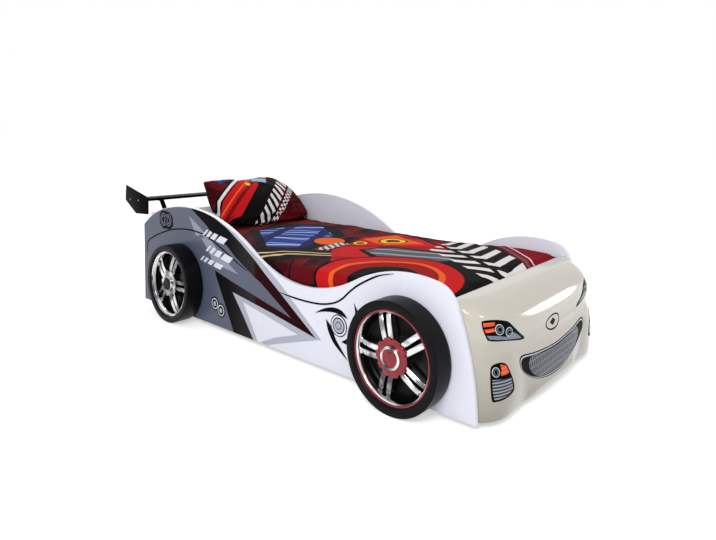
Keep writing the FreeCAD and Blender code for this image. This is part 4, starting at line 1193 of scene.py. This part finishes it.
def shrunk(outline, share_y, share_z):
    """The grille's outline drawn in towards its middle."""
    middle = (GRILLE_HALF[0][1] + GRILLE_HALF[-1][1]) / 2
    return [(y * share_y, middle + (z - middle) * share_z) for y, z in outline]


def whole(half):
    """A closed outline from one half of it, both sides of the middle."""
    return curve(half + mirrored(half[1:-1])[::-1], 5, closed=True)


def lamp_eye(name, y, z, half_y, half_z, narrowing):
    """The rings of one lamp's eye, from its rim inwards."""
    return [("%s_%d" % (name, ring), oval(y, z, half_y - less, half_z - less), 3 + ring, finish)
            for ring, (less, finish) in enumerate(zip(narrowing, ("silver", "ink", "glass", "ink")))]


# outlines on the bumper's right half, Y from the middle and height from the floor
LAMP_FILMS = (
    [("headlamp", curve([(-442, 350), (-435, 355), (-408, 355), (-375, 349), (-341, 337), (-317, 316),
                         (-284, 289), (-241, 260), (-261, 256), (-363, 279), (-427, 290), (-438, 300),
                         (-444, 326)], 5, closed=True), 1, "ink"),
     ("headlamp_glass", [(-438, 309), (-402, 304), (-364, 293), (-325, 300), (-305, 290), (-262, 263),
                         (-364, 284), (-430, 296)], 2, "glass"),
     ("headlamp_amber_0", [(-439, 348), (-403, 347), (-405, 337), (-441, 336)], 2, "amber"),
     ("headlamp_amber_1", [(-441, 328), (-410, 330), (-411, 319), (-438, 317)], 2, "amber")]
    + lamp_eye("headlamp_eye_0", -391, 322, 18, 17, (0, 3, 7, 10))
    + lamp_eye("headlamp_eye_1", -348, 306, 19, 15, (0, 3, 7, 10))
    + [("fog_surround", curve([(-434, 202), (-422, 214), (-397, 216), (-377, 206), (-364, 180), (-350, 148),
                               (-343, 113), (-379, 98), (-425, 93), (-436, 98), (-439, 132), (-438, 171)],
                              5, closed=True), 1, "ink"),
       ("fog_vent", [(-433, 166), (-362, 160), (-350, 120), (-380, 105), (-425, 99), (-431, 103),
                     (-434, 130)], 2, "vent"),
       ("fog_amber", [(-402, 211), (-381, 204), (-370, 178), (-388, 175), (-405, 176), (-401, 193)], 2,
        "amber")]
    + lamp_eye("fog_eye", -420, 189, 12, 16, (0, 2.5, 5.5, 7.5)))
GRILLE_HALF = [(0, 179), (95, 184), (185, 193), (262, 205), (284, 203), (294, 190), (282, 160), (232, 122),
               (165, 92), (88, 73), (0, 66)]
GRILLE_MESH_HALF = [(0, 167), (62, 169), (140, 177), (198, 187), (222, 178), (228, 156), (205, 126),
                    (165, 102), (100, 84), (0, 78)]
BADGE_DIAMOND = [(-26, BADGE_HEIGHT), (0, BADGE_HEIGHT + 15), (26, BADGE_HEIGHT), (0, BADGE_HEIGHT - 15)]


def bumper_films():
    """Lamps on both sides of the bumper, and the grille and badge on its middle, printed on film."""
    grille = whole(GRILLE_HALF)
    layers = [("%s_right" % name, *rest) for name, *rest in LAMP_FILMS]
    layers += [("%s_left" % name, mirrored(outline), *rest) for name, outline, *rest in LAMP_FILMS]
    layers += [
        ("grille_surround", grille, 1, "ink"),
        ("grille_line", shrunk(grille, 0.982, 0.93), 2, "silver"),
        ("grille_ground", shrunk(grille, 0.968, 0.87), 3, "ink"),
        ("grille_mesh", whole(GRILLE_MESH_HALF), 4, "grille"),
        ("badge_ring", oval(0, BADGE_HEIGHT, 62, 30), 1, "ink"),
        ("badge_ground", oval(0, BADGE_HEIGHT, 55, 24), 2, "bumper"),
        ("badge_diamond", BADGE_DIAMOND, 3, "ink")]
    for name, outline, level, finish in layers:
        film(name, outline, level, finish, bumper_face, FILM_GRID, smooth=50)


# --- rear wing ------------------------------------------------------------------------

def wing():
    """Blade, end plates and struts, all black."""
    nodes = [("wing_blade", "_board", -1)]
    for side, sign in SIDES:
        nodes += [("wing_endplate_" + side, "_bar", sign), ("wing_strut_" + side, "_bar", sign)]
    for node, ending, sign in nodes:
        low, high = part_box(node)
        shape = plate(face_loop(node, 1, sign), Vector((0, -sign * (high.y - low.y), 0)), WING_EASE, 2)
        piece(node + ending, shape, "wing", stands_for=(node,))


# --- bedding --------------------------------------------------------------------------

MATTRESS_LOW, MATTRESS_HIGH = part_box("mattress")
MATTRESS_CORNER = 45 * MM
MATTRESS_AROUND = 360
MATTRESS_SIDE = (  # height as a share of half the thickness, and how far in the side lies
    (-1.0, 4.0), (-0.96, 1.2), (-0.9, 2.6), (-0.6, 1.4), (-0.3, 1.0), (0.0, 0.8),
    (0.3, 1.0), (0.6, 1.4), (0.9, 2.6), (0.96, 1.2), (1.0, 4.0))
QUILT_PITCH = 0.11
TAPE_SIZE = 3.0 * MM
TAPE_SIDES = 8
DUVET_LOW, DUVET_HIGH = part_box("duvet")
PILLOW_LOW, PILLOW_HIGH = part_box("pillow")


def settle(item, pressure, cap, frames, stiffness, shrink, pinned=None):
    """Fills a closed cloth form with air, lets it crease, and keeps how far it moves within a cap."""
    start = [corner.co.copy() for corner in item.data.vertices]
    cloth = item.modifiers.new("fill", "CLOTH")
    settings = cloth.settings
    values = {"quality": 6, "mass": 0.2, "tension_stiffness": stiffness, "compression_stiffness": stiffness,
              "shear_stiffness": stiffness * 0.4, "bending_stiffness": 0.4, "use_pressure": True,
              "uniform_pressure_force": pressure, "shrink_min": shrink}
    for label, value in values.items():
        setattr(settings, label, value)
    settings.effector_weights.gravity = 0.0
    if pinned:
        item.vertex_groups.new(name="held").add(pinned, 1.0, "REPLACE")
        settings.vertex_group_mass = "held"
    cloth.point_cache.frame_start = 1
    cloth.point_cache.frame_end = frames
    for number in range(1, frames + 1):
        bpy.context.scene.frame_set(number)
    seen = item.evaluated_get(bpy.context.evaluated_depsgraph_get())
    moved = [corner.co.copy() for corner in seen.data.vertices]
    item.modifiers.remove(cloth)
    bpy.context.scene.frame_set(1)
    for corner, before, after in zip(item.data.vertices, start, moved):
        way = after - before
        if way.length > cap * MM:
            way *= cap * MM / way.length
        corner.co = before + way
    item.data.update()


def smoothed(item, finish):
    """One subdivision, made part of the mesh, which gets its finish again."""
    modifier = item.modifiers.new("finer", "SUBSURF")
    modifier.levels = modifier.render_levels = 1
    mesh = baked(item)
    item.modifiers.remove(modifier)
    item.data = mesh
    mesh.shade_smooth()
    mesh.materials.clear()
    mesh.materials.append(FINISHES[finish])


def rounded_plan(half_x, half_y, corner, count):
    """Points round a rectangle with round corners, each with its outward way."""
    arc = math.pi / 2 * corner
    total = 4 * (half_x + half_y - 2 * corner) + 4 * arc
    plan = []
    for i in range(count):
        run = i / count * total
        spot, way, out = Vector((corner - half_x, -half_y)), Vector((1, 0)), Vector((0, -1))
        for half in (half_x, half_y, half_x, half_y):
            straight = 2 * (half - corner)
            if run < straight:
                plan.append((spot + way * run, out))
                break
            run -= straight
            centre = spot + way * straight - out * corner
            if run < arc:
                out = Matrix.Rotation(run / corner, 2) @ out
                plan.append((centre + out * corner, out))
                break
            run -= arc
            way, out = Vector((-way.y, way.x)), way
            spot = centre + out * corner
    return plan


def mattress():
    """A foam mattress in quilted knit, with a taped edge above and below."""
    half, middle = (MATTRESS_HIGH - MATTRESS_LOW) / 2, (MATTRESS_LOW + MATTRESS_HIGH) / 2
    plan = rounded_plan(half.x, half.y, MATTRESS_CORNER, MATTRESS_AROUND)
    shape = bmesh.new()
    rings = []
    for height, inset in MATTRESS_SIDE:
        ring = []
        for i, (point, out) in enumerate(plan):
            wave = 1.1 * MM * math.sin(math.tau * i / MATTRESS_AROUND * 45) * (1 - abs(height)) ** 0.5
            spot = point - out * (inset * MM + wave)
            ring.append(shape.verts.new((middle.x + spot.x, middle.y + spot.y, middle.z + half.z * height)))
        rings.append(ring)
    loft(shape, rings)
    for ring, side in ((rings[0], -1), (rings[-1], 1)):
        rows = [ring]
        for number in range(1, 16):
            share = 1 - (number / 16) ** 0.8
            row = []
            for point, out in plan:
                x, y = (point - out * 4 * MM) * share
                seams = (math.sin(math.pi * way / QUILT_PITCH) for way in (x + y, x - y))
                rise = (-2.6 + 2.4 * abs(math.prod(seams)) ** 0.6) * MM
                row.append(shape.verts.new((middle.x + x, middle.y + y, middle.z + side * (half.z + rise))))
            rows.append(row)
        loft(shape, rows)
        shape.faces.new(rows[-1])
    outwards(shape)
    bmesh.ops.triangulate(shape, faces=[face for face in shape.faces if len(face.verts) > 4])
    cover = piece("mattress_cover", shape, "ticking", body="mattress",
                  stands_for=("mattress",), smooth=60)
    for name, height in (("low", -0.965), ("high", 0.965)):
        shape = bmesh.new()
        tube = []
        for point, out in plan:
            ring = []
            for k in range(TAPE_SIDES):
                angle = math.tau * k / TAPE_SIDES
                spot = point - out * TAPE_SIZE * (1 - 0.9 * math.cos(angle))
                ring.append(shape.verts.new((middle.x + spot.x, middle.y + spot.y,
                                             middle.z + half.z * height + TAPE_SIZE * 0.9 * math.sin(angle))))
            tube.append(ring)
        loft(shape, tube, closed=True)
        outwards(shape)
        piece("mattress_tape_" + name, shape, "piping", body="mattress", smooth=80)


def solid_tree(node):
    """A CAD node's surface, to ask for heights on it."""
    shape = bmesh.new()
    shape.from_mesh(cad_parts[node].data)
    tree = BVHTree.FromBMesh(shape)
    shape.free()
    return tree


DUVET_SOLID = solid_tree("duvet")


def duvet_top(x, y):
    """The height of the duvet's solid at a place, or None beside it."""
    hit = DUVET_SOLID.ray_cast(Vector((x, y, 2)), Vector((0, 0, -1)))[0]
    return hit.z if hit else None


def under_pillow(x, y):
    """1 beneath the pillow, 0 well away from it."""
    beside = max(x - PILLOW_HIGH.x, PILLOW_LOW.y - y, 0.0)
    return max(0.0, 1 - beside / (60 * MM))


def duvet():
    """The quilt: a crowned top over the mattress whose edges are tucked down beside it."""
    columns, rows, skirt = 118, 74, 5
    under = MATTRESS_HIGH.z + 0.4 * MM
    outer = DUVET_HIGH.y
    inner = MATTRESS_HIGH.y + 1.6 * MM
    skirt_low = DUVET_LOW.z - 8 * MM
    roll = 42 * MM
    flat = rows - 2 * (skirt + 5)
    hem = [(inner, skirt_low), (inner, under - 20 * MM), (inner - 2 * MM, under)]
    under_side = hem + [(inner - 2 * inner * k / 24, under) for k in range(1, 24)] + mirrored(hem)[::-1]
    shape = bmesh.new()
    cut = shape.loops.layers.uv.new("cut")
    grid = []
    spots = {}
    # the section: one hem, up the outside, over the top, down to the other hem, back underneath
    for i in range(columns + 1):
        share = i / columns
        x = DUVET_LOW.x + (DUVET_HIGH.x - DUVET_LOW.x) * share
        inside = min(max(x, DUVET_LOW.x + 2 * MM), DUVET_HIGH.x - 2 * MM)
        edge = min(duvet_top(inside, side * (outer - roll)) or under for side in (-1, 1))
        rise = (edge - under) / 0.9
        shoulder = under + rise * 0.1
        brink = max(edge, under + 4 * MM)
        section = [(-outer, skirt_low + (shoulder - skirt_low) * k / skirt) for k in range(skirt)]
        for k in range(5):
            turn = math.pi / 2 * k / 5
            section.append((-outer + roll * (1 - math.cos(turn)),
                            shoulder + (brink - shoulder) * math.sin(turn)))
        for k in range(flat + 1):
            y = (2 * k / flat - 1) * (outer - roll)
            section.append((y, max(duvet_top(inside, y) or brink, under + 3 * MM)))
        section += [(-y, z) for y, z in reversed(section[:skirt + 5])]
        ring = []
        walk = -sum(math.dist(a, b) for a, b in zip(section, section[1:])) / 2
        for number, (y, z) in enumerate(section + under_side):
            place = Vector((x, y, z))
            if number < len(section):
                walk += math.dist(section[max(number - 1, 0)], section[number])
                top = max(0.0, min(1.0, (z - under) / max(rise, 1 * MM)))
                lumps = noise.noise(Vector((x * 3.2, y * 3.6, 4.1))) * 6 * MM
                creases = noise.noise(Vector((x * 9.0 + y * 3.0, y * 7.0 - x * 2.0, 1.7))) * 3.2 * MM
                free = 1 - under_pillow(x, y)
                place.z += (lumps + creases) * top * free * min(1.0, share * 9, (1 - share) * 12)
            corner = shape.verts.new(place)
            spots[corner] = (x - MATTRESS_LOW.x, walk if number < len(section) else y)
            ring.append(corner)
        grid.append(ring)
    loft(shape, grid)
    for ring in (grid[0], grid[-1]):
        end_cap(shape, ring[:len(section)], ring[len(section):][::-1])
    outwards(shape)
    for face in shape.faces:
        for loop in face.loops:
            loop[cut].uv = spots[loop.vert]
    item = piece("duvet_cover", shape, "duvet", body="duvet", stands_for=("duvet",),
                 smooth=180)
    held = [v.index for v in item.data.vertices if v.co.z < under + 1 * MM]
    settle(item, 2.2, 9.0, 16, 12.0, shrink=-0.035, pinned=held)
    smoothed(item, "duvet")
    limit = (INNER_HALF - 1.5) * MM
    for corner in item.data.vertices:
        corner.co.y = max(-limit, min(limit, corner.co.y))
        if abs(corner.co.y) < inner:
            corner.co.z = max(corner.co.z, under)
        top = duvet_top(corner.co.x, corner.co.y)
        if top and under_pillow(corner.co.x, corner.co.y) > 0.5:
            corner.co.z = min(corner.co.z, top)
    item.data.update()


def end_cap(shape, top, bottom):
    """Closes one end of the duvet between its top and its underside."""
    a, b = 0, 0
    last_a, last_b = len(top) - 1, len(bottom) - 1
    while a < last_a or b < last_b:
        if b >= last_b or (a < last_a and (a + 1) / last_a <= (b + 1) / last_b):
            shape.faces.new((top[a], top[a + 1], bottom[b]))
            a += 1
        else:
            shape.faces.new((top[a], bottom[b + 1], bottom[b]))
            b += 1


def remade(node, spacing):
    """A fine even mesh over a CAD node's form."""
    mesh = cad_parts[node].data.copy()
    item = bpy.data.objects.new("form", mesh)
    bpy.context.scene.collection.objects.link(item)
    modifier = item.modifiers.new("even", "REMESH")
    modifier.mode = "VOXEL"
    modifier.voxel_size = spacing * MM
    result = baked(item)
    bpy.data.objects.remove(item)
    bpy.data.meshes.remove(mesh)
    return result


def pillow():
    """A stuffed pillow leaning on the headboard: its form remeshed, its cloth let out and creased."""
    mesh = remade("pillow", 6)
    centre = (PILLOW_LOW + PILLOW_HIGH) / 2
    toe, top = Vector((PILLOW_HIGH.x, 0, PILLOW_LOW.z)), Vector((PILLOW_LOW.x, 0, PILLOW_HIGH.z))
    up = (top - toe).normalized()
    cut = mesh.uv_layers.new(name="cut")
    for loop in mesh.loops:
        place = mesh.vertices[loop.vertex_index].co - centre
        cut.data[loop.index].uv = (place.y, place.dot(up))
    for corner in mesh.vertices:
        place = corner.co - centre
        y, rise = place.y, place.dot(up)
        fan = math.atan2(rise + 0.16, 0.36 - abs(y))
        creases = noise.noise(Vector((fan * 9.0, y * 2.0, 0.7))) * 3.4 * MM
        dents = noise.noise(Vector((y * 9.0, rise * 13.0, 2.2))) * 2.2 * MM
        corner.co += corner.normal * (creases + dents)
    item = piece("pillow_cover", mesh, "pillow", body="pillow", stands_for=("pillow",),
                 smooth=180)
    settle(item, 2.6, 11.0, 20, 9.0, shrink=-0.055)
    smoothed(item, "pillow")
    for corner in item.data.vertices:
        floor = duvet_top(corner.co.x, corner.co.y)
        corner.co.z = max(corner.co.z, (floor or PILLOW_LOW.z) + 0.5 * MM)
        corner.co.x = max(corner.co.x, PILLOW_LOW.x - 2 * MM)
    item.data.update()


# --- floor, light and camera ----------------------------------------------------------

LAMPS = (  # place, what it points at, width, height, power
    ("key", (2.4, -3.6, 3.0), (0.2, 0.0, 0.3), 1.6, 1.2, 95),
    ("side", (2.42, 2.3, 0.44), (1.2, 0.0, 0.33), 0.5, 0.6, 5.5),
    ("corner", (3.0, -0.85, 2.15), (1.15, -0.42, 0.37), 0.35, 0.35, 3),
    ("rear", (-2.6, 1.4, 2.6), (0.0, 0.0, 0.4), 1.6, 1.2, 30))


def studio():
    """A white floor that keeps a soft shadow, a white world and four soft lamps."""
    shape = bmesh.new()
    bmesh.ops.create_grid(shape, x_segments=1, y_segments=1, size=30)
    mesh = as_mesh(shape, "floor")
    floor = bpy.data.objects.new("floor", mesh)
    bpy.context.scene.collection.objects.link(floor)
    made = Finish("studio_floor", Base_Color=(0.86, 0.86, 0.86, 1), Roughness=0.9, Specular_IOR_Level=0.0)
    strength = made.math("MULTIPLY", made.seen_ray(), 0.5)
    glow = made.node("Emission", {"Color": (1, 1, 1, 1), "Strength": strength})
    total = made.node("AddShader", {0: made.surface.outputs[0], 1: glow})
    made.tree.links.new(total, made.tree.nodes["Material Output"].inputs["Surface"])
    mesh.materials.append(made.material)

    world = bpy.data.worlds.new("studio")
    bpy.context.scene.world = world
    world.use_nodes = True
    sky = Nodes(world.node_tree)
    back = sky.tree.nodes["Background"]
    back.inputs["Color"].default_value = (1, 1, 1, 1)
    sky.tree.links.new(sky.between(sky.seen_ray(), 0.67, 1.0), back.inputs["Strength"])

    for name, place, target, width, height, power in LAMPS:
        lamp = bpy.data.lights.new(name, "AREA")
        lamp.shape = "RECTANGLE"
        lamp.size, lamp.size_y = width, height
        lamp.energy = power
        holder = bpy.data.objects.new(name, lamp)
        holder.location = place
        holder.rotation_euler = (Vector(target) - Vector(place)).to_track_quat("-Z", "Y").to_euler()
        bpy.context.scene.collection.objects.link(holder)


def camera():
    """The photograph's viewpoint: three quarters from the nose, close to level, looking down by shift."""
    picture_width, picture_height = 716, 540
    focal_px, centre_x, centre_y = 551.2, 377.4, 160.6
    azimuth, pitch, roll = math.radians(40.598), math.radians(2.22), math.radians(0.119)
    data = bpy.data.cameras.new("camera")
    data.sensor_width = 36
    data.lens = focal_px / picture_width * data.sensor_width
    data.shift_x = (picture_width / 2 - centre_x) / picture_width
    data.shift_y = -(picture_height / 2 - centre_y) / picture_width
    data.clip_start, data.clip_end = 0.05, 100
    level = math.cos(pitch)
    back = Vector((math.sin(azimuth) * level, -math.cos(azimuth) * level, math.sin(pitch)))
    turn = (-back).to_track_quat("-Z", "Y").to_matrix() @ Matrix.Rotation(roll, 3, "Z")
    holder = bpy.data.objects.new("camera", data)
    holder.location = car(3080.9, -2020.3, 950.0)
    holder.rotation_euler = turn.to_euler()
    bpy.context.scene.collection.objects.link(holder)
    bpy.context.scene.camera = holder


bpy.context.scene.view_settings.view_transform = "Standard"
plain_boards()
panel_graphics()
slats()
wheels()
bumper()
bumper_films()
wing()
mattress()
duvet()
pillow()
studio()
camera()
